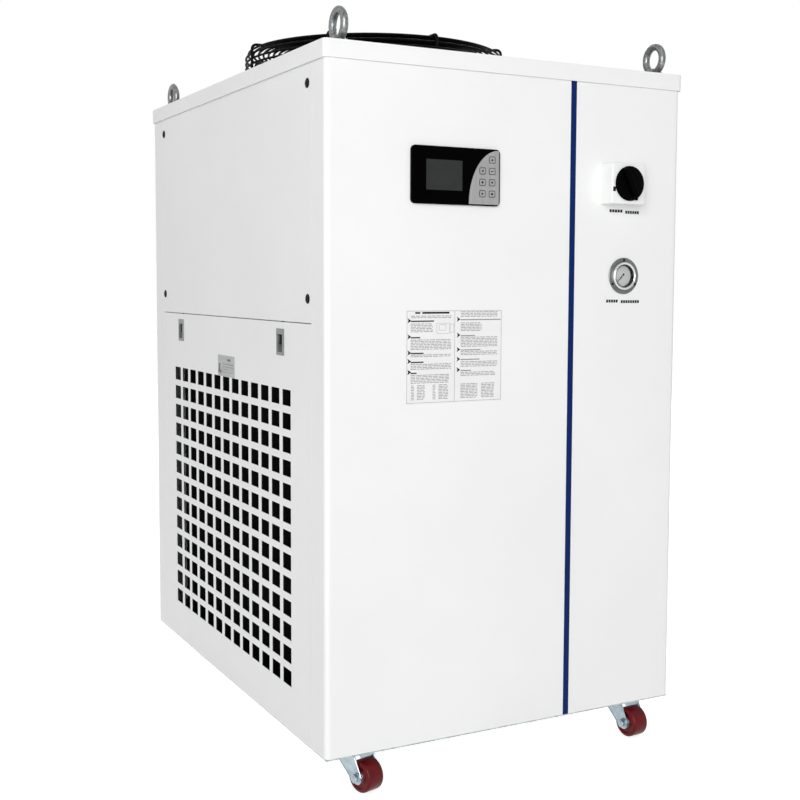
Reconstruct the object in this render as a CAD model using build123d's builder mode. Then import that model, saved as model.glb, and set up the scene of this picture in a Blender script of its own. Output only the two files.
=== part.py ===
from build123d import *
from math import cos, radians, sin
import os

# A floor-standing recirculating chiller on four swivel castors.
# Millimetres. X is the width, Y the depth with the control face at -Y, and Z is up.
# The origin is on the floor under the middle of the cabinet.

os.makedirs("parts", exist_ok=True)

# Cabinet
width = 650.0
depth = 870.0
castor_height = 64.0
body_height = 1039.0
sheet = 1.6
edge_return = 12.0
corner_bend = 8.0
seam_gap = 1.5
front_return = 51.0
rear_return = 57.0
side_seam_height = 718.5
fit_gap = 0.3

# Frame behind the panels
pan_sheet = 3.0
pan_inset = 2.0
pan_rim = 40.0
frame_sheet = 2.5
post_leg_x = 40.0
post_leg_y = 85.0
top_rail = 30.0
top_flange = 42.0
mid_rail_height = 60.0
mid_rail_flange = 34.0
lifting_block = 30.0
lifting_block_height = 22.0

# Top cover
cover_skirt = 26.5
cover_overhang = 3.0
cover_sheet = 2.0
cover_lap = 8.0
fan_y = 69.0
fan_opening_radius = 235.0
fan_collar_depth = 45.0

# Intake grille, punched in the left lower panel
grille_columns = 13
grille_rows = 13
slot_width = 33.8
slot_height = 25.5
slot_pitch_y = 47.4
slot_pitch_z = 37.3
grille_centre_height = 375.5

# Slide latches of the intake panel
latch_y = 260.0
latch_height = 686.0
latch_width = 30.0
latch_length = 42.0
latch_bezel = 1.5
latch_body_depth = 9.0
latch_lip = 2.0
pocket_width = 20.0
pocket_top = 12.0
pocket_bottom = -16.0
pocket_floor = 1.0
slider_length = 16.0
slider_depth = 6.0
slider_groove = 1.2
tongue_width = 8.0
tongue_sheet = 3.0
tongue_reach = 28.0

# Controller
controller_x = -109.0
controller_z = 942.5
controller_width = 155.0
controller_height = 87.0
controller_proud = 6.0
controller_corner = 7.0
controller_bevel = 1.6
controller_box_depth = 45.0
controller_lip = 4.0
display_x = -131.0
display_z = 943.0
display_width = 62.5
display_height = 45.5
display_depth = 1.5
key_field_sheet = 0.6
key_field_width = 53.5
key_field_height = 83.0
key_field_inset = 3.2
key_field_drop = 41.5
key_width = 11.5
key_height = 10.5
key_gap = 0.2
key_proud = 0.8
key_body = 2.4
key_travel = 0.8
key_rest = 0.2
key_pitch_z = 17.4
key_pitch_x = 17.2
key_right_x = -47.0
key_top_z = 969.5

# Rotary power switch
switch_x = 197.0
switch_z = 942.0
switch_size = 66.0
switch_depth = 32.0
switch_block = 44.0
switch_block_depth = 40.0
knob_radius = 28.0
knob_thickness = 9.7
knob_disc = 4.0
knob_bar_width = 12.0
knob_bar_length = 50.0
knob_pointer = 3.5
knob_pointer_width = 6.0
knob_pointer_angle = -61.0
knob_shaft_radius = 6.0
knob_shaft_length = 12.0
shaft_clearance = 0.05

# Water pressure gauge
gauge_x = 213.0
gauge_z = 793.0
gauge_flange_radius = 30.0
gauge_flange = 2.0
gauge_bezel_radius = 22.5
gauge_bezel_proud = 6.0
gauge_cup_radius = 20.5
gauge_cup_depth = 26.0
gauge_bore_radius = 18.5
gauge_dial_depth = 9.0
gauge_dial_sheet = 1.0
gauge_lens_depth = 1.5
gauge_lens_sheet = 1.5
needle_length = 14.0
needle_tail = 5.0
needle_width = 1.6
needle_sheet = 0.8
needle_hub_bore = 1.05
spindle_radius = 1.0
needle_zero_angle = 225.0

# Coloured stripe down the front
stripe_x = 109.0
stripe_width = 10.6
stripe_film = 0.4

# Fan guard, motor and impeller
guard_height = 84.0
guard_wire = 5.0
guard_ring_wire = 4.0
guard_radius = 250.0
guard_weld = 0.5
guard_bars = 8
guard_bar_bend = 12.0
guard_top_radii = [165.0]
guard_side_levels = [0.0]
guard_disc_radius = 66.0
guard_disc_sheet = 3.0
stator_radius = 45.0
stator_height = 40.0
rotor_radius = 60.0
rotor_height = 80.0
rotor_gap = 1.5
motor_shaft_radius = 8.0
motor_shaft_length = 15.0
blade_count = 5
blade_root_radius = 52.0
blade_tip_radius = 214.0
blade_chord = 104.0
blade_pitch = 32.0
blade_camber = 10.0
blade_sheet = 3.0

# Lifting eye bolts
eye_inset_x = 33.6
eye_inset_y = 27.8
eye_outer_radius = 27.0
eye_inner_radius = 15.0
eye_thickness = 12.0
eye_height = 54.0
eye_collar_radius = 15.0
eye_collar = 8.0
eye_shank_radius = 5.9
eye_shank_length = 24.0

# Castors
castor_inset_x = 67.0
castor_inset_y = 50.0
castor_trail = 33.0
castor_plate_x = 72.0
castor_plate_y = 60.0
castor_plate_sheet = 3.0
swivel_gap = 0.5
fork_sheet = 2.5
fork_crown_front = 26.0
fork_crown_back = 24.0
fork_boss = 11.0
wheel_radius = 25.0
wheel_width = 31.0
wheel_side_gap = 1.5
axle_radius = 4.0
kingpin_radius = 6.0

# Inside
condenser_x = -303.0
condenser_thickness = 60.0
condenser_length = 620.0
condenser_height = 582.0
condenser_frame = 8.0
condenser_recess = 6.0
compressor_x = -90.0
compressor_y = -180.0
compressor_radius = 82.0
compressor_height = 330.0
compressor_foot = 200.0
compressor_foot_sheet = 6.0
tank_x = 195.0
tank_y = 225.0
tank_width = 210.0
tank_depth = 370.0
tank_height = 430.0
pump_x = 120.0
pump_y = -150.0
pump_axis_height = 170.0
pump_motor_radius = 58.0
pump_motor_length = 170.0
pump_head = 60.0
pump_foot_width = 110.0
suction_x = 130.0
discharge_x = 74.0
pipe_radius = 14.0
evaporator_x = -70.0
evaporator_y = 220.0
evaporator_width = 120.0
evaporator_depth = 90.0
evaporator_height = 320.0
gas_pipe_radius = 6.0
hot_gas_height = 330.0
liquid_height = 200.0
suction_height = 300.0
electrical_box_width = 118.0
electrical_box_depth = 300.0
electrical_box_height = 280.0
electrical_box_y = -120.0

# Rear fittings
return_height = 400.0
drain_height = 130.0
port_hex = 42.0
port_projection = 42.0
port_bore_radius = 9.3
port_bore_depth = 30.0
port_tail_radius = 15.0
gland_x = -220.0
gland_z = 150.0
gland_hex = 30.0
gland_projection = 26.0
gland_bore_radius = 7.0
gland_clearance = 1.0

# Levels and planes that follow from the sizes above
body_bottom = castor_height
panel_bottom = body_bottom + pan_sheet
body_top = body_bottom + body_height
panel_top = body_top + cover_lap
cover_top = body_top + cover_skirt
cover_underside = cover_top - cover_sheet
post_top = cover_underside - top_rail
frame_x = width / 2 - edge_return
frame_y = depth / 2 - edge_return
front_y = -depth / 2
rear_y = depth / 2
side_front_y = front_y + front_return + seam_gap
side_rear_y = rear_y - rear_return - seam_gap
side_mid_y = (side_front_y + side_rear_y) / 2
side_length = side_rear_y - side_front_y
lower_panel_top = side_seam_height - seam_gap / 2
upper_panel_bottom = side_seam_height + seam_gap / 2
rail_half_length = frame_y - post_leg_y
guard_top = cover_top + guard_height
port_places = [(discharge_x, pump_axis_height), (tank_x, return_height)]
drain_place = (tank_x, drain_height)
tongue_x = -width / 2 + sheet + fit_gap + tongue_sheet / 2
eye_places = [
    (sx * (width / 2 - eye_inset_x), sy * (depth / 2 - eye_inset_y))
    for sx in (-1, 1)
    for sy in (-1, 1)
]
castor_places = {
    "front_left": (-width / 2 + castor_inset_x, front_y + castor_inset_y, 15.5),
    "front_right": (width / 2 - castor_inset_x, front_y + castor_inset_y, 4.5),
    "rear_left": (-width / 2 + castor_inset_x, rear_y - castor_inset_y, 28.0),
    "rear_right": (width / 2 - castor_inset_x, rear_y - castor_inset_y, -8.0),
}

# Base pan: the floor plate and the rims that stand up between the posts
with BuildPart() as base_pan:
    with BuildSketch(Plane.XY.offset(body_bottom)):
        Rectangle(width - 2 * pan_inset, depth - 2 * pan_inset)
    extrude(amount=pan_sheet)
    with BuildSketch(Plane.XY.offset(panel_bottom)):
        for side in (-1, 1):
            with Locations((side * (frame_x - pan_sheet / 2), 0)):
                Rectangle(pan_sheet, 2 * rail_half_length)
            with Locations((0, side * (frame_y - pan_sheet / 2))):
                Rectangle(2 * (frame_x - post_leg_x), pan_sheet)
    extrude(amount=pan_rim)
base_pan.part.label = "base_pan"
export_step(base_pan.part, "parts/base_pan.step")

# Four angle posts standing on the pan
with BuildPart() as corner_posts:
    with BuildSketch(Plane.XY.offset(panel_bottom)):
        for sx in (-1, 1):
            for sy in (-1, 1):
                with Locations((sx * (frame_x - post_leg_x / 2), sy * (frame_y - frame_sheet / 2))):
                    Rectangle(post_leg_x, frame_sheet)
                with Locations((sx * (frame_x - frame_sheet / 2), sy * (frame_y - post_leg_y / 2))):
                    Rectangle(frame_sheet, post_leg_y)
    extrude(amount=post_top - panel_bottom)
corner_posts.part.label = "corner_posts"
export_step(corner_posts.part, "parts/corner_posts.step")

# Top frame: an angle ring on the posts, with a tapped lifting block in each corner
with BuildPart() as top_frame:
    with BuildSketch(Plane.XY.offset(post_top)):
        Rectangle(2 * frame_x, 2 * frame_y)
        Rectangle(2 * (frame_x - frame_sheet), 2 * (frame_y - frame_sheet), mode=Mode.SUBTRACT)
    extrude(amount=top_rail)
    with BuildSketch(Plane.XY.offset(cover_underside)):
        Rectangle(2 * frame_x, 2 * frame_y)
        Rectangle(2 * (frame_x - top_flange), 2 * (frame_y - top_flange), mode=Mode.SUBTRACT)
    extrude(amount=-frame_sheet)
    with BuildSketch(Plane.XY.offset(cover_underside)):
        with Locations(*eye_places):
            Rectangle(lifting_block, lifting_block)
    extrude(amount=-lifting_block_height)
    with BuildSketch(Plane.XY.offset(cover_underside)):
        with Locations(*eye_places):
            Circle(eye_shank_radius + shaft_clearance)
    extrude(amount=-lifting_block_height, mode=Mode.SUBTRACT)
top_frame.part.label = "top_frame"
export_step(top_frame.part, "parts/top_frame.step")

# Mid rails behind the seam between the upper and lower side panels
for side, name in ((-1, "left_mid_rail"), (1, "right_mid_rail")):
    rail_face = side * frame_x
    with BuildPart() as mid_rail:
        with BuildSketch(Plane.YZ.offset(rail_face)):
            with Locations((0, side_seam_height)):
                Rectangle(2 * rail_half_length, mid_rail_height)
        extrude(amount=-side * frame_sheet)
        with BuildSketch(Plane.YZ.offset(rail_face)):
            with Locations((0, side_seam_height + mid_rail_height / 2 - frame_sheet / 2)):
                Rectangle(2 * rail_half_length, frame_sheet)
        extrude(amount=-side * mid_rail_flange)
    mid_rail.part.label = name
    export_step(mid_rail.part, "parts/" + name + ".step")


def wrapped_panel(face_y, side_return):
    """Sheet that covers one end of the cabinet and wraps round both of its corners."""
    inward = -1 if face_y > 0 else 1
    height = panel_top - panel_bottom
    with BuildPart() as shell:
        with BuildSketch(Plane.XY.offset(panel_bottom)):
            with Locations((0, face_y + inward * side_return / 2)):
                Rectangle(width, side_return)
        extrude(amount=height)
        bent = edges().filter_by(Axis.Z).filter_by_position(Axis.Y, face_y, face_y)
        fillet(bent, radius=corner_bend)
        with BuildSketch(Plane.XY.offset(panel_bottom + sheet)):
            with Locations((0, face_y + inward * side_return / 2)):
                Rectangle(width - 2 * sheet, side_return - 2 * sheet)
            inner_y = face_y + inward * sheet
            fillet(vertices().filter_by_position(Axis.Y, inner_y, inner_y), radius=corner_bend - sheet)
        extrude(amount=height - 2 * sheet, mode=Mode.SUBTRACT)
        open_depth = side_return - edge_return
        with BuildSketch(Plane.XY.offset(panel_bottom)):
            with Locations((0, face_y + inward * (edge_return + open_depth / 2))):
                Rectangle(2 * frame_x, open_depth)
        extrude(amount=height, mode=Mode.SUBTRACT)
    return shell.part


# Front panel with the cut-outs for the controller, the switch and the gauge
front_shell = wrapped_panel(front_y, front_return)
with BuildPart() as front_panel:
    add(front_shell)
    with BuildSketch(Plane.XZ.offset(-front_y)):
        with Locations((controller_x, controller_z)):
            Rectangle(
                controller_width - 2 * controller_lip + 2 * fit_gap,
                controller_height - 2 * controller_lip + 2 * fit_gap,
            )
        with Locations((switch_x, switch_z)):
            Rectangle(switch_block + 2 * fit_gap, switch_block + 2 * fit_gap)
        with Locations((gauge_x, gauge_z)):
            Circle(gauge_cup_radius + fit_gap)
    extrude(amount=-sheet, mode=Mode.SUBTRACT)
front_panel.part.label = "front_panel"
export_step(front_panel.part, "parts/front_panel.step")

# Rear panel with the holes for the water fittings and the cable gland
rear_shell = wrapped_panel(rear_y, rear_return)
with BuildPart() as rear_panel:
    add(rear_shell)
    with BuildSketch(Plane.XZ.offset(-rear_y)):
        with Locations(*port_places, drain_place):
            Circle(port_tail_radius + fit_gap)
        with Locations((gland_x, gland_z)):
            Circle(gland_bore_radius + gland_clearance)
    extrude(amount=sheet, mode=Mode.SUBTRACT)
rear_panel.part.label = "rear_panel"
export_step(rear_panel.part, "parts/rear_panel.step")


def folded_side_panel(side, low, high):
    """Flat side panel between the wrapped ones, its four edges returned towards the frame."""
    with BuildPart() as tray:
        with BuildSketch(Plane.YZ.offset(side * width / 2)):
            with Locations((side_mid_y, (low + high) / 2)):
                Rectangle(side_length, high - low)
        extrude(amount=-side * edge_return)
        with BuildSketch(Plane.YZ.offset(side * (width / 2 - sheet))):
            with Locations((side_mid_y, (low + high) / 2)):
                Rectangle(side_length - 2 * sheet, high - low - 2 * sheet)
        extrude(amount=-side * (edge_return - sheet), mode=Mode.SUBTRACT)
    return tray.part


# Upper left panel, with the two slots that the latch tongues enter
upper_tray = folded_side_panel(-1, upper_panel_bottom, panel_top)
with BuildPart() as left_upper_panel:
    add(upper_tray)
    with BuildSketch(Plane.XY.offset(upper_panel_bottom)):
        with Locations((tongue_x, -latch_y), (tongue_x, latch_y)):
            Rectangle(tongue_sheet + 2 * fit_gap, tongue_width + 2 * fit_gap)
    extrude(amount=sheet, mode=Mode.SUBTRACT)
left_upper_panel.part.label = "left_upper_panel"
export_step(left_upper_panel.part, "parts/left_upper_panel.step")

# Lower left panel: the punched air intake, lifted off by its two latches
intake_tray = folded_side_panel(-1, panel_bottom, lower_panel_top)
with BuildPart() as left_intake_panel:
    add(intake_tray)
    with BuildSketch(Plane.YZ.offset(-width / 2)):
        with Locations((0, grille_centre_height)):
            with GridLocations(slot_pitch_y, slot_pitch_z, grille_columns, grille_rows):
                Rectangle(slot_width, slot_height)
        with Locations((-latch_y, latch_height), (latch_y, latch_height)):
            Rectangle(
                latch_width - 2 * latch_lip + 2 * fit_gap,
                latch_length - 2 * latch_lip + 2 * fit_gap,
            )
    extrude(amount=sheet, mode=Mode.SUBTRACT)
    with BuildSketch(Plane.XY.offset(lower_panel_top)):
        with Locations((tongue_x, -latch_y), (tongue_x, latch_y)):
            Rectangle(tongue_sheet + 2 * fit_gap, tongue_width + 2 * fit_gap)
    extrude(amount=-sheet, mode=Mode.SUBTRACT)
left_intake_panel.part.label = "left_intake_panel"
export_step(left_intake_panel.part, "parts/left_intake_panel.step")

# Right side panel: one plain sheet over the full height
right_tray = folded_side_panel(1, panel_bottom, panel_top)
with BuildPart() as right_side_panel:
    add(right_tray)
right_side_panel.part.label = "right_side_panel"
export_step(right_side_panel.part, "parts/right_side_panel.step")

# Top cover: a folded lid with a drawn collar round the fan opening
with BuildPart() as top_cover:
    with BuildSketch(Plane.XY.offset(body_top)):
        lid = Rectangle(width + 2 * cover_overhang, depth + 2 * cover_overhang)
        fillet(lid.vertices(), radius=corner_bend)
    extrude(amount=cover_skirt)
    with BuildSketch(Plane.XY.offset(body_top)):
        hollow = Rectangle(
            width + 2 * (cover_overhang - cover_sheet), depth + 2 * (cover_overhang - cover_sheet)
        )
        fillet(hollow.vertices(), radius=corner_bend - cover_sheet)
    extrude(amount=cover_skirt - cover_sheet, mode=Mode.SUBTRACT)
    with BuildSketch(Plane.XY.offset(cover_underside)):
        with Locations((0, fan_y)):
            Circle(fan_opening_radius + cover_sheet)
    extrude(amount=-fan_collar_depth)
    with BuildSketch(Plane.XY.offset(cover_top)):
        with Locations((0, fan_y)):
            Circle(fan_opening_radius)
    extrude(amount=-fan_collar_depth - cover_sheet, mode=Mode.SUBTRACT)
    with BuildSketch(Plane.XY.offset(cover_top)):
        with Locations(*eye_places):
            Circle(eye_shank_radius + fit_gap)
    extrude(amount=-cover_sheet, mode=Mode.SUBTRACT)
top_cover.part.label = "top_cover"
export_step(top_cover.part, "parts/top_cover.step")

# Stripe: a thin film down the front, from the pan to the cover
with BuildPart() as blue_stripe:
    with BuildSketch(Plane.XZ.offset(-front_y)):
        with Locations((stripe_x, (panel_bottom + body_top) / 2)):
            Rectangle(stripe_width, body_top - panel_bottom)
    extrude(amount=stripe_film)
blue_stripe.part.label = "blue_stripe"
export_step(blue_stripe.part, "parts/blue_stripe.step")

# Slide latches: two pocketed housings and, in each pocket, a grooved slider with its tongue
bezel_x = -width / 2 - latch_bezel
pocket_x = bezel_x + latch_bezel + latch_body_depth - pocket_floor
latch_places = {"rear": latch_y, "front": -latch_y}
with BuildPart() as latch_housings:
    for y in latch_places.values():
        with BuildSketch(Plane.YZ.offset(bezel_x)):
            with Locations((y, latch_height)):
                Rectangle(latch_width, latch_length)
        extrude(amount=latch_bezel)
        with BuildSketch(Plane.YZ.offset(-width / 2)):
            with Locations((y, latch_height)):
                Rectangle(latch_width - 2 * latch_lip, latch_length - 2 * latch_lip)
        extrude(amount=latch_body_depth)
        with BuildSketch(Plane.YZ.offset(bezel_x)):
            with Locations((y, latch_height + (pocket_top + pocket_bottom) / 2)):
                Rectangle(pocket_width, pocket_top - pocket_bottom)
        extrude(amount=pocket_x - bezel_x, mode=Mode.SUBTRACT)
        with BuildSketch(Plane.XY.offset(latch_height + pocket_top)):
            with Locations((tongue_x, y)):
                Rectangle(tongue_sheet + 2 * fit_gap, tongue_width + 2 * fit_gap)
        extrude(amount=latch_length / 2, mode=Mode.SUBTRACT)
latch_housings.part.label = "latch_housings"
export_step(latch_housings.part, "parts/latch_housings.step")

slider_top = latch_height + pocket_top - fit_gap
for place, y in latch_places.items():
    name = "latch_slider_" + place
    with BuildPart() as latch_slider:
        with BuildSketch(Plane.YZ.offset(pocket_x - fit_gap)):
            with Locations((y, slider_top - slider_length / 2)):
                Rectangle(pocket_width - 2 * fit_gap, slider_length)
        extrude(amount=-slider_depth)
        with BuildSketch(Plane.YZ.offset(pocket_x - fit_gap - slider_depth)):
            with Locations((y, slider_top - slider_length / 2)):
                with GridLocations(0, slider_length / 4, 1, 3):
                    Rectangle(pocket_width - 2 * fit_gap, slider_length / 10)
        extrude(amount=slider_groove, mode=Mode.SUBTRACT)
        with BuildSketch(Plane.XY.offset(slider_top)):
            with Locations((tongue_x, y)):
                Rectangle(tongue_sheet, tongue_width)
        extrude(amount=tongue_reach)
    latch_slider.part.label = name
    export_step(latch_slider.part, "parts/" + name + ".step")

# Controller: a bevelled bezel in front of the panel and its box behind it
controller_face = -front_y + controller_proud
key_places = [(key_right_x, key_top_z - row * key_pitch_z) for row in range(4)]
key_places += [(key_right_x - key_pitch_x, key_top_z - row * key_pitch_z) for row in range(1, 4)]
with BuildPart() as controller_housing:
    with BuildSketch(Plane.XZ.offset(-front_y)):
        with Locations((controller_x, controller_z)):
            RectangleRounded(controller_width, controller_height, controller_corner)
    extrude(amount=controller_proud)
    chamfer(faces().sort_by(Axis.Y)[0].edges(), length=controller_bevel)
    with BuildSketch(Plane.XZ.offset(-front_y)):
        with Locations((controller_x, controller_z)):
            Rectangle(
                controller_width - 2 * controller_lip, controller_height - 2 * controller_lip
            )
    extrude(amount=-controller_box_depth)
    with BuildSketch(Plane.XZ.offset(controller_face)):
        with Locations((display_x, display_z)):
            Rectangle(display_width, display_height)
    extrude(amount=-display_depth, mode=Mode.SUBTRACT)
    with BuildSketch(Plane.XZ.offset(controller_face)):
        with Locations(*key_places):
            Rectangle(key_width + 2 * key_gap, key_height + 2 * key_gap)
    extrude(amount=-key_body - key_travel - key_rest, mode=Mode.SUBTRACT)
controller_housing.part.label = "controller_housing"
export_step(controller_housing.part, "parts/controller_housing.step")

with BuildPart() as display_window:
    with BuildSketch(Plane.XZ.offset(controller_face)):
        with Locations((display_x, display_z)):
            Rectangle(display_width, display_height)
    extrude(amount=-display_depth)
display_window.part.label = "display_window"
export_step(display_window.part, "parts/display_window.step")

# Key field: a quarter-ellipse overlay with a window for each key
field_right = controller_x + controller_width / 2 - key_field_inset
field_bottom = controller_z - key_field_drop
with BuildPart() as key_field:
    with BuildSketch(Plane.XZ.offset(controller_face)):
        with Locations((field_right, field_bottom)):
            Ellipse(key_field_width, key_field_height)
        with Locations((field_right - key_field_width / 2, field_bottom + key_field_height / 2)):
            Rectangle(key_field_width, key_field_height, mode=Mode.INTERSECT)
        with Locations(*key_places):
            Rectangle(key_width + 2 * key_gap, key_height + 2 * key_gap, mode=Mode.SUBTRACT)
    extrude(amount=key_field_sheet)
key_field.part.label = "key_field"
export_step(key_field.part, "parts/key_field.step")

for number, (x, z) in enumerate(key_places, start=1):
    name = "key_" + str(number)
    with BuildPart() as key:
        with BuildSketch(Plane.XZ.offset(controller_face - key_body)):
            with Locations((x, z)):
                Rectangle(key_width, key_height)
        extrude(amount=key_body + key_proud)
    key.part.label = name
    export_step(key.part, "parts/" + name + ".step")

# Power switch: a square body proud of the panel, its contact block behind, and a round knob
switch_face = -front_y + switch_depth
with BuildPart() as switch_base:
    with BuildSketch(Plane.XZ.offset(-front_y)):
        with Locations((switch_x, switch_z)):
            Rectangle(switch_size, switch_size)
    extrude(amount=switch_depth)
    with BuildSketch(Plane.XZ.offset(-front_y)):
        with Locations((switch_x, switch_z)):
            Rectangle(switch_block, switch_block)
    extrude(amount=-switch_block_depth)
    with BuildSketch(Plane.XZ.offset(switch_face)):
        with Locations((switch_x, switch_z)):
            Circle(knob_shaft_radius + shaft_clearance)
    extrude(amount=-knob_shaft_length - fit_gap, mode=Mode.SUBTRACT)
switch_base.part.label = "switch_base"
export_step(switch_base.part, "parts/switch_base.step")

knob_back = switch_face + fit_gap
pointer_x = switch_x + knob_radius * cos(radians(knob_pointer_angle))
pointer_z = switch_z + knob_radius * sin(radians(knob_pointer_angle))
with BuildPart() as switch_knob:
    with BuildSketch(Plane.XZ.offset(knob_back)):
        with Locations((switch_x, switch_z)):
            Circle(knob_radius)
        with Locations((pointer_x, pointer_z)):
            Rectangle(2 * knob_pointer, knob_pointer_width, rotation=knob_pointer_angle)
    extrude(amount=knob_disc)
    with BuildSketch(Plane.XZ.offset(knob_back + knob_disc)):
        with Locations((switch_x, switch_z)):
            Rectangle(knob_bar_length, knob_bar_width, rotation=knob_pointer_angle)
    extrude(amount=knob_thickness - knob_disc)
    with BuildSketch(Plane.XZ.offset(knob_back)):
        with Locations((switch_x, switch_z)):
            Circle(knob_shaft_radius)
    extrude(amount=-knob_shaft_length)
switch_knob.part.label = "switch_knob"
export_step(switch_knob.part, "parts/switch_knob.step")

# Pressure gauge, turned about its own axis: flanged cup, dial, needle and lens
gauge_axis = Axis((gauge_x, front_y, gauge_z), (0, 1, 0))
gauge_front = front_y - gauge_bezel_proud
dial_face = gauge_front + gauge_dial_depth
with BuildPart() as gauge_case:
    with BuildSketch(Plane.XY.offset(gauge_z)):
        with BuildLine():
            Polyline(
                (gauge_x, front_y + gauge_cup_depth),
                (gauge_x + gauge_cup_radius, front_y + gauge_cup_depth),
                (gauge_x + gauge_cup_radius, front_y),
                (gauge_x + gauge_flange_radius, front_y),
                (gauge_x + gauge_flange_radius, front_y - gauge_flange),
                (gauge_x + gauge_bezel_radius, gauge_front),
                (gauge_x + gauge_bore_radius, gauge_front),
                (gauge_x + gauge_bore_radius, dial_face + gauge_dial_sheet),
                (gauge_x, dial_face + gauge_dial_sheet),
                close=True,
            )
        make_face()
    revolve(axis=gauge_axis)
gauge_case.part.label = "gauge_case"
export_step(gauge_case.part, "parts/gauge_case.step")

needle_back = dial_face - fit_gap
with BuildPart() as gauge_dial:
    with BuildSketch(Plane.XZ.offset(-dial_face)):
        with Locations((gauge_x, gauge_z)):
            Circle(gauge_bore_radius)
    extrude(amount=-gauge_dial_sheet)
    with BuildSketch(Plane.XZ.offset(-dial_face)):
        with Locations((gauge_x, gauge_z)):
            Circle(spindle_radius)
    extrude(amount=fit_gap + needle_sheet)
gauge_dial.part.label = "gauge_dial"
export_step(gauge_dial.part, "parts/gauge_dial.step")

with BuildPart() as gauge_needle:
    with BuildSketch(Plane.XZ.offset(-needle_back)):
        with Locations((gauge_x, gauge_z)):
            Polygon(
                (-needle_tail, -needle_width),
                (needle_length, 0),
                (-needle_tail, needle_width),
                rotation=needle_zero_angle,
                align=None,
            )
            Circle(needle_hub_bore, mode=Mode.SUBTRACT)
    extrude(amount=needle_sheet)
gauge_needle.part.label = "gauge_needle"
export_step(gauge_needle.part, "parts/gauge_needle.step")

with BuildPart() as gauge_lens:
    with BuildSketch(Plane.XZ.offset(-gauge_front - gauge_lens_depth)):
        with Locations((gauge_x, gauge_z)):
            Circle(gauge_bore_radius)
    extrude(amount=-gauge_lens_sheet)
gauge_lens.part.label = "gauge_lens"
export_step(gauge_lens.part, "parts/gauge_lens.step")


def upright_plane(turn):
    """Plane that holds the fan's axis, with its local X pointing outwards at the angle given."""
    return Plane(
        origin=(0, fan_y, 0), x_dir=(cos(turn), sin(turn), 0), z_dir=(sin(turn), -cos(turn), 0)
    )


# Fan guard: concentric rings welded inside radial bars that bend down to the cover
bar_under = guard_top - guard_wire
ring_outer = guard_radius - guard_wire + guard_weld
ring_radii = [ring_outer - guard_ring_wire / 2] + guard_top_radii
with BuildPart() as fan_guard:
    for radius in ring_radii:
        with BuildSketch(Plane.XY.offset(bar_under + guard_weld)):
            with Locations((0, fan_y)):
                Circle(radius + guard_ring_wire / 2)
                Circle(radius - guard_ring_wire / 2, mode=Mode.SUBTRACT)
        extrude(amount=-guard_ring_wire)
    for level in guard_side_levels:
        with BuildSketch(Plane.XY.offset(cover_top + level)):
            with Locations((0, fan_y)):
                Circle(ring_outer)
                Circle(ring_outer - guard_ring_wire, mode=Mode.SUBTRACT)
        extrude(amount=guard_ring_wire)
    with BuildSketch(Plane.XY.offset(bar_under + guard_weld)):
        with Locations((0, fan_y)):
            Circle(guard_disc_radius)
    extrude(amount=-guard_disc_sheet)
    for number in range(guard_bars):
        turn = radians(number * 360 / guard_bars)
        with BuildSketch(upright_plane(turn)):
            with BuildLine():
                Polyline(
                    (guard_disc_radius / 2, guard_top),
                    (guard_radius, guard_top),
                    (guard_radius, cover_top),
                    (guard_radius - guard_wire, cover_top),
                    (guard_radius - guard_wire, bar_under),
                    (guard_disc_radius / 2, bar_under),
                    close=True,
                )
            make_face()
            fillet(vertices().group_by(Axis.Y)[-1].sort_by(Axis.X)[-1], radius=guard_bar_bend)
            fillet(
                vertices().filter_by_position(Axis.Y, bar_under, bar_under).sort_by(Axis.X)[-1],
                radius=guard_bar_bend - guard_wire,
            )
        extrude(amount=guard_wire / 2, both=True)
fan_guard.part.label = "fan_guard"
export_step(fan_guard.part, "parts/fan_guard.step")

# Motor: the fixed half hangs under the guard's disc, and its bore carries the rotor shaft
stator_top = bar_under + guard_weld - guard_disc_sheet
rotor_top = stator_top - stator_height - rotor_gap
rotor_bottom = rotor_top - rotor_height
with BuildPart() as fan_stator:
    with BuildSketch(Plane.XY.offset(stator_top)):
        with Locations((0, fan_y)):
            Circle(stator_radius)
            Circle(motor_shaft_radius + shaft_clearance, mode=Mode.SUBTRACT)
    extrude(amount=-stator_height)
fan_stator.part.label = "fan_stator"
export_step(fan_stator.part, "parts/fan_stator.step")

# Impeller: the rotor can with five pitched, cambered blades
with BuildPart() as fan_impeller:
    with BuildSketch(Plane.XY.offset(rotor_top)):
        with Locations((0, fan_y)):
            Circle(rotor_radius)
    extrude(amount=-rotor_height)
    with BuildSketch(Plane.XY.offset(rotor_top)):
        with Locations((0, fan_y)):
            Circle(motor_shaft_radius)
    extrude(amount=motor_shaft_length)
    for number in range(blade_count):
        turn = radians(number * 360 / blade_count)
        outward = Vector(cos(turn), sin(turn), 0)
        around = Vector(-sin(turn), cos(turn), 0)
        along = around * cos(radians(blade_pitch)) + Vector(0, 0, sin(radians(blade_pitch)))
        root = Vector(0, fan_y, (rotor_top + rotor_bottom) / 2) + outward * blade_root_radius
        with BuildSketch(Plane(origin=root, x_dir=along, z_dir=outward)):
            with BuildLine():
                ThreePointArc((-blade_chord / 2, 0), (0, blade_camber), (blade_chord / 2, 0))
                Line((blade_chord / 2, 0), (blade_chord / 2, blade_sheet))
                ThreePointArc(
                    (blade_chord / 2, blade_sheet),
                    (0, blade_camber + blade_sheet),
                    (-blade_chord / 2, blade_sheet),
                )
                Line((-blade_chord / 2, blade_sheet), (-blade_chord / 2, 0))
            make_face()
        extrude(amount=blade_tip_radius - blade_root_radius)
fan_impeller.part.label = "fan_impeller"
export_step(fan_impeller.part, "parts/fan_impeller.step")

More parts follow.
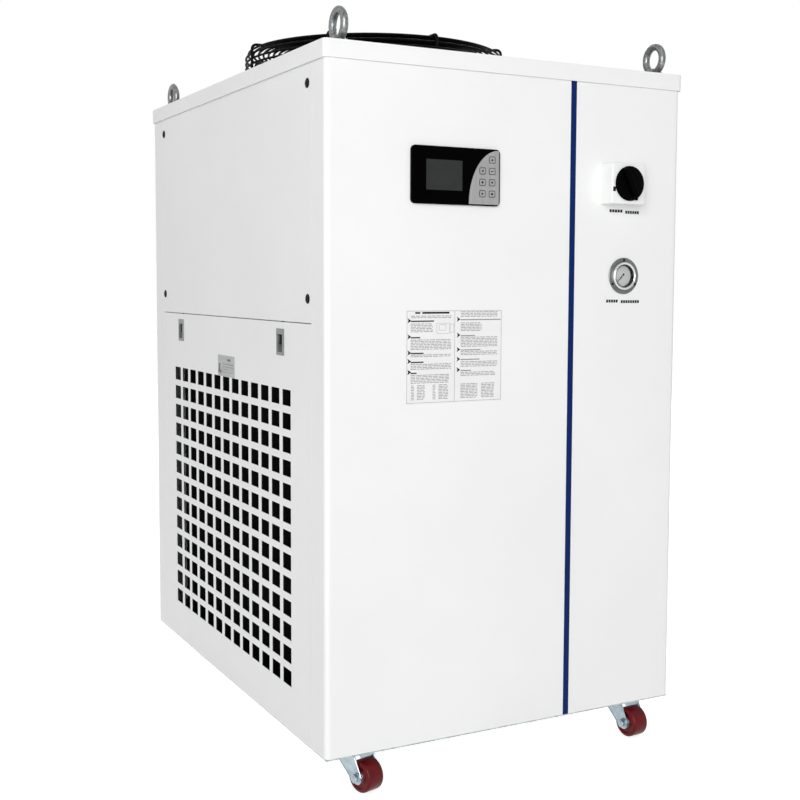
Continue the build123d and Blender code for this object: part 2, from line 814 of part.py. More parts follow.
# Lifting eyes: a forged ring on a collar, with the threaded shank in the lifting block
with BuildPart() as eye_bolts:
    for x, y in eye_places:
        ring_centre = cover_top + eye_height - eye_outer_radius
        with BuildSketch(Plane.YZ.offset(x)):
            with Locations((y, ring_centre)):
                Circle(eye_outer_radius)
                Circle(eye_inner_radius, mode=Mode.SUBTRACT)
        extrude(amount=eye_thickness / 2, both=True)
        with BuildSketch(Plane.XY.offset(cover_top)):
            with Locations((x, y)):
                Circle(eye_collar_radius)
        extrude(amount=eye_collar)
        with BuildSketch(Plane.XY.offset(cover_top)):
            with Locations((x, y)):
                Circle(eye_shank_radius)
        extrude(amount=-eye_shank_length)
eye_bolts.part.label = "eye_bolts"
export_step(eye_bolts.part, "parts/eye_bolts.step")

# Castors: each fork swivels on its kingpin in the plate, and the wheel turns on the fork's axle
plate_under = castor_height - castor_plate_sheet
leg_inside = wheel_width / 2 + wheel_side_gap
crown_top = plate_under - swivel_gap
crown_under = crown_top - fork_sheet
with BuildPart() as castor_plates:
    for x, y, yaw in castor_places.values():
        with BuildSketch(Plane.XY.offset(castor_height)):
            with Locations((x, y)):
                Rectangle(castor_plate_x, castor_plate_y)
                Circle(kingpin_radius + shaft_clearance, mode=Mode.SUBTRACT)
        extrude(amount=-castor_plate_sheet)
castor_plates.part.label = "castor_plates"
export_step(castor_plates.part, "parts/castor_plates.step")

for place, (x, y, yaw) in castor_places.items():
    # The local X runs along the axle and the local -Y towards the trailing wheel
    swivel = Plane(origin=(x, y, 0), x_dir=(cos(radians(yaw)), sin(radians(yaw)), 0), z_dir=(0, 0, 1))
    side_view = Plane(origin=swivel.origin, x_dir=swivel.y_dir, z_dir=swivel.x_dir)
    with BuildPart() as castor_fork:
        with BuildSketch(side_view):
            with BuildLine():
                Polyline(
                    (-fork_crown_front, crown_top),
                    (fork_crown_back, crown_top),
                    (fork_crown_back, crown_under),
                    (-castor_trail + fork_boss, wheel_radius - fork_boss / 2),
                    (-castor_trail + fork_boss / 2, wheel_radius - fork_boss),
                    (-castor_trail - fork_boss / 2, wheel_radius - fork_boss),
                    (-castor_trail - fork_boss, wheel_radius - fork_boss / 2),
                    (-castor_trail - fork_boss, wheel_radius + fork_boss / 2),
                    (-fork_crown_front, crown_under),
                    close=True,
                )
            make_face()
        extrude(amount=leg_inside + fork_sheet, both=True)
        with BuildSketch(side_view):
            with Locations((0, crown_under - castor_height / 2)):
                Rectangle(4 * castor_height, castor_height)
        extrude(amount=leg_inside, both=True, mode=Mode.SUBTRACT)
        with BuildSketch(side_view):
            with Locations((-castor_trail, wheel_radius)):
                Circle(axle_radius)
        extrude(amount=leg_inside, both=True)
        with BuildSketch(swivel.offset(crown_top)):
            Circle(kingpin_radius)
        extrude(amount=castor_height - fit_gap - crown_top)
    castor_fork.part.label = "castor_fork_" + place
    export_step(castor_fork.part, "parts/castor_fork_" + place + ".step")

    with BuildPart() as castor_wheel:
        with BuildSketch(side_view):
            with Locations((-castor_trail, wheel_radius)):
                Circle(wheel_radius)
                Circle(axle_radius + shaft_clearance, mode=Mode.SUBTRACT)
        extrude(amount=wheel_width / 2, both=True)
    castor_wheel.part.label = "castor_wheel_" + place
    export_step(castor_wheel.part, "parts/castor_wheel_" + place + ".step")

# Condenser: the finned block behind the intake grille, recessed in its frame
condenser_far_x = condenser_x + condenser_thickness
with BuildPart() as condenser:
    with BuildSketch(Plane.YZ.offset(condenser_x)):
        with Locations((0, panel_bottom + condenser_height / 2)):
            Rectangle(condenser_length, condenser_height)
    extrude(amount=condenser_thickness)
    for face_x, inward in ((condenser_x, 1), (condenser_far_x, -1)):
        with BuildSketch(Plane.YZ.offset(face_x)):
            with Locations((0, panel_bottom + condenser_height / 2)):
                Rectangle(
                    condenser_length - 2 * condenser_frame, condenser_height - 2 * condenser_frame
                )
        extrude(amount=inward * condenser_recess, mode=Mode.SUBTRACT)
condenser.part.label = "condenser"
export_step(condenser.part, "parts/condenser.step")

# Compressor: a welded steel can on a square foot
with BuildPart() as compressor:
    with BuildSketch(Plane.XY.offset(panel_bottom)):
        with Locations((compressor_x, compressor_y)):
            Rectangle(compressor_foot, compressor_foot)
    extrude(amount=compressor_foot_sheet)
    with BuildSketch(Plane.XY.offset(panel_bottom)):
        with Locations((compressor_x, compressor_y)):
            Circle(compressor_radius)
    extrude(amount=compressor_height)
compressor.part.label = "compressor"
export_step(compressor.part, "parts/compressor.step")

# Water tank on the pan
with BuildPart() as water_tank:
    with BuildSketch(Plane.XY.offset(panel_bottom)):
        with Locations((tank_x, tank_y)):
            Rectangle(tank_width, tank_depth)
    extrude(amount=tank_height)
water_tank.part.label = "water_tank"
export_step(water_tank.part, "parts/water_tank.step")

# Water pump: a motor lying along Y on its foot, with the pump head towards the tank
head_y = pump_y + pump_motor_length / 2
head_end_y = head_y + pump_head
with BuildPart() as water_pump:
    with BuildSketch(Plane.XZ.offset(-head_y)):
        with Locations((pump_x, pump_axis_height)):
            Circle(pump_motor_radius)
    extrude(amount=pump_motor_length)
    with BuildSketch(Plane.XZ.offset(-head_end_y)):
        with Locations((pump_x, pump_axis_height)):
            Rectangle(2 * pump_head, 2 * pump_head)
    extrude(amount=pump_head)
    with BuildSketch(Plane.XY.offset(panel_bottom)):
        with Locations((pump_x, pump_y)):
            Rectangle(pump_foot_width, pump_motor_length)
    extrude(amount=pump_axis_height - pump_motor_radius * cos(radians(60)) - panel_bottom)
water_pump.part.label = "water_pump"
export_step(water_pump.part, "parts/water_pump.step")

# Water pipes: the suction from the tank, and the discharge past the tank to the outlet
tank_front_y = tank_y - tank_depth / 2
tank_rear_y = tank_y + tank_depth / 2
with BuildPart() as water_pipes:
    for x, end_y in ((suction_x, tank_front_y), (discharge_x, tank_rear_y)):
        with BuildSketch(Plane.XZ.offset(-head_end_y)):
            with Locations((x, pump_axis_height)):
                Circle(pipe_radius)
        extrude(amount=head_end_y - end_y)
water_pipes.part.label = "water_pipes"
export_step(water_pipes.part, "parts/water_pipes.step")

# Evaporator: a brazed stack of plates between the condenser and the tank
with BuildPart() as evaporator:
    with BuildSketch(Plane.XY.offset(panel_bottom)):
        with Locations((evaporator_x, evaporator_y)):
            Rectangle(evaporator_width, evaporator_depth)
    extrude(amount=evaporator_height)
evaporator.part.label = "evaporator"
export_step(evaporator.part, "parts/evaporator.step")

# Refrigerant pipes: hot gas to the condenser, liquid to the evaporator, suction to the compressor
evaporator_front_y = evaporator_y - evaporator_depth / 2
evaporator_left_x = evaporator_x - evaporator_width / 2
condenser_inner_x = condenser_far_x - condenser_recess
with BuildPart() as refrigerant_pipes:
    for y, z, end_x in (
        (compressor_y, hot_gas_height, compressor_x - compressor_radius),
        (evaporator_y, liquid_height, evaporator_left_x),
    ):
        with BuildSketch(Plane.YZ.offset(condenser_inner_x)):
            with Locations((y, z)):
                Circle(gas_pipe_radius)
        extrude(amount=end_x - condenser_inner_x)
    with BuildSketch(Plane.XZ.offset(-evaporator_front_y)):
        with Locations((compressor_x, suction_height)):
            Circle(gas_pipe_radius)
    extrude(amount=evaporator_front_y - compressor_y - compressor_radius)
refrigerant_pipes.part.label = "refrigerant_pipes"
export_step(refrigerant_pipes.part, "parts/refrigerant_pipes.step")

# Electrical box on the right mid rail
rail_top = side_seam_height + mid_rail_height / 2
with BuildPart() as electrical_box:
    with BuildSketch(Plane.XY.offset(rail_top)):
        with Locations((frame_x - frame_sheet - electrical_box_width / 2, electrical_box_y)):
            Rectangle(electrical_box_width, electrical_box_depth)
    extrude(amount=electrical_box_height)
electrical_box.part.label = "electrical_box"
export_step(electrical_box.part, "parts/electrical_box.step")

# Water outlet and return: hexagon sockets with a threaded mouth, and the closed drain below
with BuildPart() as water_ports:
    with BuildSketch(Plane.XZ.offset(-rear_y)):
        with Locations(*port_places, drain_place):
            RegularPolygon(port_hex / 2, 6, major_radius=False)
    extrude(amount=-port_projection)
    with BuildSketch(Plane.XZ.offset(-rear_y)):
        with Locations(*port_places, drain_place):
            Circle(port_tail_radius)
    extrude(amount=rear_y - tank_rear_y)
    with BuildSketch(Plane.XZ.offset(-rear_y - port_projection)):
        with Locations(*port_places):
            Circle(port_bore_radius)
    extrude(amount=port_bore_depth, mode=Mode.SUBTRACT)
water_ports.part.label = "water_ports"
export_step(water_ports.part, "parts/water_ports.step")

# Cable gland: a hexagon with the bore for the mains lead
with BuildPart() as cable_gland:
    with BuildSketch(Plane.XZ.offset(-rear_y)):
        with Locations((gland_x, gland_z)):
            RegularPolygon(gland_hex / 2, 6, major_radius=False)
            Circle(gland_bore_radius, mode=Mode.SUBTRACT)
    extrude(amount=-gland_projection)
cable_gland.part.label = "cable_gland"
export_step(cable_gland.part, "parts/cable_gland.step")
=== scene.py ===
"""Recirculating chiller: finishes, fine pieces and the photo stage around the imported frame."""

import math
import random

import bmesh
import bpy
from mathutils import Matrix, Vector


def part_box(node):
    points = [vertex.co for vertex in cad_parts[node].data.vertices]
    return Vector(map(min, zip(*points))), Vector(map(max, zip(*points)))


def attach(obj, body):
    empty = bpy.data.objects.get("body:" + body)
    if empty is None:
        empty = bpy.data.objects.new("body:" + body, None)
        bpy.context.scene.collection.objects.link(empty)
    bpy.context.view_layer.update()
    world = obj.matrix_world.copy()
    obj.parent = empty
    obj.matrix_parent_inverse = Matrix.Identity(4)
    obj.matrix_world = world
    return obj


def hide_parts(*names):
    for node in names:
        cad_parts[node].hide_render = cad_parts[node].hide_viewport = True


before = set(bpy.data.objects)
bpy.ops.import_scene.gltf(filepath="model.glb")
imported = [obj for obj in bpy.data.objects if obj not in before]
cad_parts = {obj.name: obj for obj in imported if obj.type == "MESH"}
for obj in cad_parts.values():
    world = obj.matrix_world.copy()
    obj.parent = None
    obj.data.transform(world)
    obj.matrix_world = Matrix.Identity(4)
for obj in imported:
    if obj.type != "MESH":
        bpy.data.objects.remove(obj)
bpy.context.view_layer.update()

bl_info = {
    "name": "Recirculating chiller",
    "version": (1, 0, 0),
    "blender": (4, 5, 0),
    "location": "3D View > Sidebar > Chiller",
    "description": "Dresses the chiller's frame with finishes, wire, screws, print and castors",
    "category": "Object",
}

MM = 0.001
# Turned shapes start this close to their axis, in millimetres, and a small cap closes them
AXIS = 0.01

# Planes and centres of the frame, in millimetres
FRONT_FACE = -435.0
LEFT_FACE = -325.0
RIGHT_FACE = 325.0
REAR_FACE = 435.0
COVER_TOP = 1129.5
FAN_X, FAN_Y = 0.0, 69.0
# Field of the intake slots on the left panel
SLOTS_HALF_LENGTH, SLOTS_HALF_HEIGHT, SLOTS_MIDDLE = 330.0, 282.0, 373.0
CASTORS = {
    "front_left": (-258.0, -385.0, 15.5),
    "front_right": (258.0, -385.0, 4.5),
    "rear_left": (-258.0, 385.0, 28.0),
    "rear_right": (258.0, 385.0, -8.0),
}


def linear(hex_colour):
    """Turns an sRGB colour such as #1c2f66 into the linear RGBA that shaders take."""
    channels = [int(hex_colour[i : i + 2], 16) / 255 for i in (1, 3, 5)]
    return [c / 12.92 if c <= 0.04045 else ((c + 0.055) / 1.055) ** 2.4 for c in channels] + [1.0]


def per_mm(size):
    """Texture scale of a pattern whose repeat is that many millimetres, on object coordinates."""
    return 1.0 / (size * MM)


class ChillerColours(bpy.types.PropertyGroup):
    """Colours that a user would change"""

    body: bpy.props.FloatVectorProperty(
        name="Body paint", description="Powder coat of every outer panel",
        subtype="COLOR", size=4, min=0.0, max=1.0, default=linear("#eeefee"),
    )
    stripe: bpy.props.FloatVectorProperty(
        name="Stripe", description="Vinyl film down the front",
        subtype="COLOR", size=4, min=0.0, max=1.0, default=linear("#06205c"),
    )
    wheels: bpy.props.FloatVectorProperty(
        name="Castor wheels", description="Cast polyurethane of the wheels",
        subtype="COLOR", size=4, min=0.0, max=1.0, default=linear("#64070e"),
    )
    guard: bpy.props.FloatVectorProperty(
        name="Fan guard", description="Dip coat of the fan guard's wire",
        subtype="COLOR", size=4, min=0.0, max=1.0, default=linear("#030303"),
    )


class ChillerSizes(bpy.types.PropertyGroup):
    """Sizes of the fine pieces that a user would change"""

    guard_ring_wire: bpy.props.FloatProperty(
        name="Guard ring wire", description="Diameter of the guard's ring wire",
        default=0.0042, min=0.002, max=0.005, subtype="DISTANCE", unit="LENGTH",
    )
    guard_bar_wire: bpy.props.FloatProperty(
        name="Guard bar wire", description="Diameter of the guard's radial bars",
        default=0.005, min=0.003, max=0.005, subtype="DISTANCE", unit="LENGTH",
    )
    guard_ring_pitch: bpy.props.FloatProperty(
        name="Guard ring pitch", description="Distance between neighbouring top rings",
        default=0.0094, min=0.008, max=0.03, subtype="DISTANCE", unit="LENGTH",
    )
    screw_head: bpy.props.FloatProperty(
        name="Screw head", description="Diameter of the panel screws' heads",
        default=0.015, min=0.01, max=0.018, subtype="DISTANCE", unit="LENGTH",
    )
    fin_pitch: bpy.props.FloatProperty(
        name="Fin pitch", description="Distance between the condenser's fins",
        default=0.004, min=0.003, max=0.01, subtype="DISTANCE", unit="LENGTH",
    )


# One recipe for each real finish. "patch" is the size in mm of slow colour drift, "grain" that of
# the fine relief and "depth" the relief's height in mm; "stretch" drags the grain along an axis.
# "user" names the colour that the user sets, and the slot colour of the punched panel is painted
# shade on the walls inside its slots.
FINISHES = {
    # Polyester powder coat on sheet steel: an even satin white with a faint orange peel, whose
    # 1.2 mm bumps are drawn at 3 mm so that they still soften the highlights from afar
    "satin_powder_coat": dict(
        user="body", second="#eaebea", patch=260, rough=(0.40, 0.47), grain=3.0, depth=0.012,
        shader={"IOR": 1.5},
    ),
    # The same powder coat on the punched panel, with painted shade: the walls inside the slots are
    # coloured dark to stand in for the shade in them, so that the slots read as black from the side
    # too
    "powder_coat_over_punched_steel": dict(
        user="body", second="#eaebea", patch=260, rough=(0.40, 0.47), grain=3.0, depth=0.012,
        shader={"IOR": 1.5}, painted_slot_shade="#161718",
    ),
    # Hot-dip galvanised sheet: flat crystals of slightly different grey, cold and half matt
    "galvanised_sheet": dict(
        colour="#9ea3a6", second="#b9bdbf", patch=9, cells=True, rough=(0.32, 0.52), grain=1.6,
        depth=0.01, shader={"Metallic": 1.0},
    ),
    # Bright zinc plate, blue passivated: cool pale metal with soft cloudy reflections
    "blue_zinc_plate": dict(
        colour="#b4c0c6", second="#98a7b0", patch=11, rough=(0.22, 0.36), grain=1.4, depth=0.02,
        shader={"Metallic": 1.0},
    ),
    # Forged steel, barrel zinc plated: darker grey, with the skin of the forging left in it
    "forged_zinc_steel": dict(
        colour="#949596", second="#626364", patch=5, rough=(0.3, 0.42), grain=1.5, depth=0.05,
        shader={"Metallic": 1.0},
    ),
    # Steel wire, dipped in black plastic: deep black with a narrow soft highlight
    "black_dipped_wire": dict(
        user="guard", second="#060606", patch=30, rough=(0.42, 0.55), grain=2.0, depth=0.01,
        shader={"IOR": 1.15},
    ),
    # Die-cast aluminium, painted black: matt and slightly pebbled, as motor housings are
    "black_painted_casting": dict(
        colour="#060607", second="#0c0c0d", patch=25, rough=(0.5, 0.62), grain=1.8, depth=0.05,
        shader={"IOR": 1.25},
    ),
    # Glass-filled nylon, moulded: the fan's black blades, satin with a fine mould texture
    "black_moulded_nylon": dict(
        colour="#111213", second="#18191a", patch=35, rough=(0.42, 0.52), grain=1.2, depth=0.02,
        shader={"IOR": 1.5},
    ),
    # Phenolic moulding: the switch knob, near black and quite smooth
    "black_phenolic": dict(
        colour="#010101", second="#020202", patch=14, rough=(0.4, 0.5), grain=1.0, depth=0.008,
        shader={"IOR": 1.08},
    ),
    # Cast polyurethane on a polypropylene hub: dark red rubber that shines a little at its edges
    "red_cast_polyurethane": dict(
        user="wheels", second="#56070c", patch=16, rough=(0.26, 0.38), grain=1.3, depth=0.02,
        shader={"IOR": 1.28},
    ),
    # Cast vinyl film: dark blue, flat and evenly glossy
    "cast_vinyl_film": dict(
        user="stripe", second="#08225e", patch=150, rough=(0.3, 0.36), grain=4.0, depth=0.004,
        shader={"IOR": 1.18},
    ),
    # Back-printed acrylic sheet: black that stays black, with a sharp thin gloss
    "back_printed_acrylic": dict(
        colour="#010101", second="#020202", patch=60, rough=(0.12, 0.18), grain=3.0, depth=0.002,
        shader={"IOR": 1.07},
    ),
    # Display glass over a switched-off panel: an even dark grey behind a soft anti-glare skin
    "anti_glare_display": dict(
        colour="#2c2d2d", second="#303131", patch=22, rough=(0.36, 0.42), grain=1.0, depth=0.003,
        shader={"IOR": 1.2},
    ),
    # Brushed aluminium foil under polyester: fine upright hairlines that catch the light in streaks
    "brushed_foil_overlay": dict(
        colour="#989898", second="#a8a8a8", patch=2.2, rough=(0.3, 0.42), grain=0.8, depth=0.012,
        stretch=(1.0, 1.0, 0.05), shader={"Metallic": 0.55},
    ),
    # ABS, injection moulded: the switch body, clean white with a fine spark-eroded texture
    "white_moulded_abs": dict(
        colour="#eeefee", second="#e8e9e8", patch=40, rough=(0.34, 0.42), grain=1.0, depth=0.01,
        shader={"IOR": 1.53},
    ),
    # Spun brass, chromium plated: the gauge's raised ring, a clean mirror with slight waviness
    "polished_chromium": dict(
        colour="#c9cbcc", second="#bfc1c2", patch=14, rough=(0.07, 0.13), grain=6.0, depth=0.01,
        shader={"Metallic": 1.0},
    ),
    # Pressed stainless flange, satin: grey metal with a fine turned lay
    "satin_stainless": dict(
        colour="#787979", second="#686969", patch=5, rough=(0.28, 0.4), grain=0.9, depth=0.01,
        shader={"Metallic": 1.0},
    ),
    # Stove enamel on the dial plate: warm white and matt, so that the scale reads without glare
    "stoved_dial_enamel": dict(
        colour="#c6c6c2", second="#bababa", patch=12, rough=(0.5, 0.6), grain=1.0, depth=0.004,
        shader={"IOR": 1.5},
    ),
    # Screen-print ink: dense black that sits flat on its ground
    "screen_print_ink": dict(
        colour="#161617", second="#1c1c1d", patch=6, rough=(0.5, 0.6), grain=1.0, depth=0.004,
        shader={"IOR": 1.2},
    ),
    # The same print in half tone: grey lines of small type seen from far away
    "half_tone_ink": dict(
        colour="#767676", second="#909090", patch=4, rough=(0.5, 0.6), grain=1.0, depth=0.004,
        shader={"IOR": 1.45},
    ),
    # Black print in half tone, as on the metal plate: mid grey fields with a broken edge
    "half_tone_dark_ink": dict(
        colour="#5a5b5b", second="#6a6b6b", patch=4, rough=(0.5, 0.6), grain=1.0, depth=0.004,
        shader={"IOR": 1.45},
    ),
    # Matt laminated paper label: a hair whiter and duller than the paint under it
    "laminated_label": dict(
        colour="#ebebeb", second="#e6e6e6", patch=45, rough=(0.42, 0.5), grain=2.5, depth=0.006,
        shader={"IOR": 1.48},
    ),
    # Etched aluminium plate, silver anodised: dull light grey with a short brushed grain
    "anodised_plate": dict(
        colour="#b0b1b1", second="#a2a3a3", patch=3, rough=(0.38, 0.5), grain=0.8, depth=0.008,
        stretch=(1.0, 0.12, 1.0), shader={"Metallic": 0.75},
    ),
    # Zinc alloy die casting, clear lacquered: mid grey, satin, with blurred flow marks
    "lacquered_zinc_casting": dict(
        colour="#8d8e8f", second="#7b7c7d", patch=9, rough=(0.34, 0.44), grain=1.2, depth=0.02,
        shader={"Metallic": 0.6},
    ),
    # Acetal moulding: the latch sliders and gland, dark and waxy
    "dark_acetal": dict(
        colour="#050506", second="#090a0a", patch=8, rough=(0.4, 0.5), grain=1.0, depth=0.01,
        shader={"IOR": 1.15},
    ),
    # Black zinc plate on cross-recessed screws: soft black metal, paler where the driver bites
    "black_zinc_plate": dict(
        colour="#070708", second="#101011", patch=3, rough=(0.36, 0.5), grain=0.8, depth=0.01,
        shader={"IOR": 1.2},
    ),
    # Epoxy-coated fin pack: charcoal that swallows the light between its fins
    "epoxy_coated_fins": dict(
        colour="#050505", second="#0a0a0a", patch=18, rough=(0.55, 0.7), grain=2.0, depth=0.01,
        shader={"IOR": 1.15},
    ),
    # Rotationally moulded polyethylene: milky, waxy and slightly uneven
    "natural_polyethylene": dict(
        colour="#d9dad2", second="#cfd1c8", patch=60, rough=(0.42, 0.55), grain=4.0, depth=0.06,
        shader={"IOR": 1.51},
    ),
    # Sand-cast iron, enamelled: dark blue-grey over a coarse casting skin
    "enamelled_cast_iron": dict(
        colour="#2b3138", second="#343b43", patch=20, rough=(0.36, 0.5), grain=2.2, depth=0.12,
        shader={"IOR": 1.5},
    ),
    # Drawn copper tube: warm metal, clouded brown where it was brazed
    "drawn_copper": dict(
        colour="#c07a52", second="#8e5334", patch=45, rough=(0.22, 0.4), grain=2.0, depth=0.01,
        shader={"Metallic": 1.0},
    ),
    # Turned brass: yellow metal with a fine lathe lay, dulled by handling
    "turned_brass": dict(
        colour="#b3924f", second="#9c7d41", patch=8, rough=(0.24, 0.38), grain=0.9, depth=0.01,
        stretch=(1.0, 0.1, 1.0), shader={"Metallic": 1.0},
    ),
    # Deep-drawn steel can, stoved black: smooth gloss with slow waves from the press
    "stoved_black_steel": dict(
        colour="#0d0e0f", second="#131415", patch=40, rough=(0.24, 0.34), grain=12.0, depth=0.1,
        shader={"IOR": 1.5},
    ),
    # Brazed stainless plates: bright, with the copper braze showing as slight warmth
    "brazed_stainless": dict(
        colour="#aaa9a6", second="#a39a90", patch=16, rough=(0.2, 0.32), grain=1.5, depth=0.01,
        shader={"Metallic": 1.0},
    ),
}

# Which finish each node of the frame takes
NODE_FINISHES = {
    "satin_powder_coat": (
        "front_panel", "rear_panel", "left_upper_panel", "right_side_panel", "top_cover",
        "electrical_box",
    ),
    "powder_coat_over_punched_steel": ("left_intake_panel",),
    "galvanised_sheet": (
        "base_pan", "corner_posts", "top_frame", "left_mid_rail", "right_mid_rail",
    ),
    "cast_vinyl_film": ("blue_stripe",),
    "lacquered_zinc_casting": ("latch_housings",),
    "dark_acetal": ("latch_slider_rear", "latch_slider_front", "cable_gland"),
    "back_printed_acrylic": ("controller_housing",),
    "anti_glare_display": ("display_window",),
    "brushed_foil_overlay": ("key_field",) + tuple("key_" + str(n) for n in range(1, 8)),
    "stoved_dial_enamel": ("gauge_dial",),
    "screen_print_ink": ("gauge_needle",),
    "black_painted_casting": ("fan_stator",),
    "blue_zinc_plate": ("castor_plates",),
    "stoved_black_steel": ("compressor",),
    "natural_polyethylene": ("water_tank",),
    "enamelled_cast_iron": ("water_pump",),
    "brazed_stainless": ("evaporator",),
    "drawn_copper": ("refrigerant_pipes", "water_pipes"),
    "turned_brass": ("water_ports",),
}


def add_node(tree, kind, inputs=None, **settings):
    """Adds a shader node; an input takes a value or another node's output."""
    node = tree.nodes.new(kind)
    for name, value in settings.items():
        setattr(node, name, value)
    for name, value in (inputs or {}).items():
        if isinstance(value, bpy.types.NodeSocket):
            tree.links.new(value, node.inputs[name])
        else:
            node.inputs[name].default_value = value
    return node


def seeing_rays(tree):
    """Gives 1 for camera, transmission and glossy rays, and 0 for the rays that light."""
    rays = add_node(tree, "ShaderNodeLightPath")
    seen = rays.outputs["Is Camera Ray"]
    for kind in ("Is Transmission Ray", "Is Glossy Ray"):
        seen = add_node(
            tree, "ShaderNodeMath", {0: seen, 1: rays.outputs[kind]}, operation="MAXIMUM"
        ).outputs[0]
    return seen


def shear_edges(tree, coat, shade_tone):
    """Paints shade on the faces inside the intake slots, which face along the panel: they take a
    dark colour in place of the shade that falls there.
    """
    outward = add_node(
        tree, "ShaderNodeVectorMath",
        {0: add_node(tree, "ShaderNodeNewGeometry").outputs["True Normal"], 1: (1.0, 0.0, 0.0)},
        operation="DOT_PRODUCT",
    ).outputs["Value"]
    along = add_node(tree, "ShaderNodeMath", {0: outward, 1: 0.0, 2: 0.5}, operation="COMPARE")
    place = add_node(
        tree, "ShaderNodeSeparateXYZ",
        {"Vector": add_node(tree, "ShaderNodeTexCoord").outputs["Object"]},
    )
    inside = along.outputs[0]
    for axis, middle, reach in (
        ("Y", 0.0, SLOTS_HALF_LENGTH), ("Z", SLOTS_MIDDLE, SLOTS_HALF_HEIGHT),
    ):
        within = add_node(
            tree, "ShaderNodeMath", {0: place.outputs[axis], 1: middle * MM, 2: reach * MM},
            operation="COMPARE",
        )
        inside = add_node(
            tree, "ShaderNodeMath", {0: inside, 1: within.outputs[0]}, operation="MULTIPLY"
        ).outputs[0]
    mixed = add_node(tree, "ShaderNodeMix", {"Factor": inside}, data_type="RGBA")
    # In colour mode the mix's two colours are its inputs 6 and 7, and its result is output 2
    tree.links.new(coat, mixed.inputs[6])
    mixed.inputs[7].default_value = shade_tone
    return mixed.outputs[2]


def build_finish(name):
    """Returns the named finish, and builds its nodes the first time."""
    if name in bpy.data.materials:
        return bpy.data.materials[name]
    recipe = FINISHES[name]
    material = bpy.data.materials.new(name)
    material.use_nodes = True
    tree = material.node_tree
    shader = tree.nodes["Principled BSDF"]
    for socket, value in recipe["shader"].items():
        shader.inputs[socket].default_value = value
    if "user" in recipe:
        first = getattr(bpy.context.scene.chiller_colours, recipe["user"])
    else:
        first = linear(recipe["colour"])
    second = linear(recipe["second"])

    place = add_node(tree, "ShaderNodeTexCoord").outputs["Object"]
    if "stretch" in recipe:
        place = add_node(
            tree, "ShaderNodeMapping", {"Vector": place, "Scale": recipe["stretch"]}
        ).outputs["Vector"]
    if recipe.get("cells"):
        drift = add_node(
            tree, "ShaderNodeTexVoronoi", {"Vector": place, "Scale": per_mm(recipe["patch"])}
        ).outputs["Color"]
    else:
        drift = add_node(
            tree, "ShaderNodeTexNoise",
            {"Vector": place, "Scale": per_mm(recipe["patch"]), "Detail": 3.0, "Roughness": 0.55},
        ).outputs["Fac"]
    tint = add_node(tree, "ShaderNodeValToRGB", {"Fac": drift})
    tint.color_ramp.elements[0].position = 0.3
    tint.color_ramp.elements[0].color = first
    tint.color_ramp.elements[1].position = 0.7
    tint.color_ramp.elements[1].color = second
    colour = tint.outputs["Color"]
    # Painted shade: the walls inside the punched panel's slots take a dark colour for the shade
    # that falls in them.
    if "painted_slot_shade" in recipe:
        colour = shear_edges(tree, colour, linear(recipe["painted_slot_shade"]))
    tree.links.new(colour, shader.inputs["Base Color"])

    grain = add_node(
        tree, "ShaderNodeTexNoise",
        {"Vector": place, "Scale": per_mm(recipe["grain"]), "Detail": 2.0, "Roughness": 0.5},
    ).outputs["Fac"]
    dullest, glossiest = max(recipe["rough"]), min(recipe["rough"])
    sheen = add_node(
        tree, "ShaderNodeMapRange",
        {"Value": grain, "From Min": 0.3, "From Max": 0.7, "To Min": glossiest, "To Max": dullest},
    )
    tree.links.new(sheen.outputs["Result"], shader.inputs["Roughness"])
    relief = add_node(
        tree, "ShaderNodeBump", {"Height": grain, "Distance": recipe["depth"] * MM, "Strength": 1.0}
    )
    tree.links.new(relief.outputs["Normal"], shader.inputs["Normal"])
    return material


def build_lens():
    """Returns the gauge's window: clear moulded polycarbonate, milky with fine scratches."""
    name = "clear_polycarbonate"
    if name in bpy.data.materials:
        return bpy.data.materials[name]
    material = bpy.data.materials.new(name)
    material.use_nodes = True
    tree = material.node_tree
    shader = tree.nodes["Principled BSDF"]
    shader.inputs["Base Color"].default_value = linear("#f6f7f7")
    shader.inputs["Transmission Weight"].default_value = 1.0
    shader.inputs["IOR"].default_value = 1.2
    place = add_node(tree, "ShaderNodeTexCoord").outputs["Object"]
    scratches = add_node(
        tree, "ShaderNodeTexNoise", {"Vector": place, "Scale": per_mm(5.0), "Detail": 4.0}
    )
    sheen = add_node(
        tree, "ShaderNodeMapRange",
        {"Value": scratches.outputs["Fac"], "To Min": 0.0, "To Max": 0.08},
    )
    tree.links.new(sheen.outputs["Result"], shader.inputs["Roughness"])
    return material


def circle_points(radius, count, start=0.0, turn=2 * math.pi):
    """Points of an arc in the XY plane; a whole turn leaves out the repeated last point."""
    whole = abs(turn - 2 * math.pi) < 1e-6
    steps = count if whole else count - 1
    angles = [start + turn * i / steps for i in range(count)]
    return [(radius * math.cos(a), radius * math.sin(a)) for a in angles]


def rounded_outline(width, height, radius, steps=6):
    """Outline of a rounded rectangle about its centre."""
    outline = []
    for quarter, (sx, sy) in enumerate(((1, 1), (-1, 1), (-1, -1), (1, -1))):
        centre_x = sx * (width / 2 - radius)
        centre_y = sy * (height / 2 - radius)
        for x, y in circle_points(radius, steps, quarter * math.pi / 2, math.pi / 2):
            outline.append((centre_x + x, centre_y + y))
    return outline


def skin(bm, rings, closed=False, material=0):
    """Joins rings of equally many points, and caps both ends unless the last joins the first."""
    loops = [[bm.verts.new(point) for point in ring] for ring in rings]
    pairs = list(zip(loops, loops[1:] + loops[:1])) if closed else list(zip(loops, loops[1:]))
    faces = []
    for low, high in pairs:
        for i in range(len(low)):
            j = (i + 1) % len(low)
            faces.append(bm.faces.new((low[i], low[j], high[j], high[i])))
    if not closed:
        faces.append(bm.faces.new(list(reversed(loops[0]))))
        faces.append(bm.faces.new(loops[-1]))
    for face in faces:
        face.material_index = material


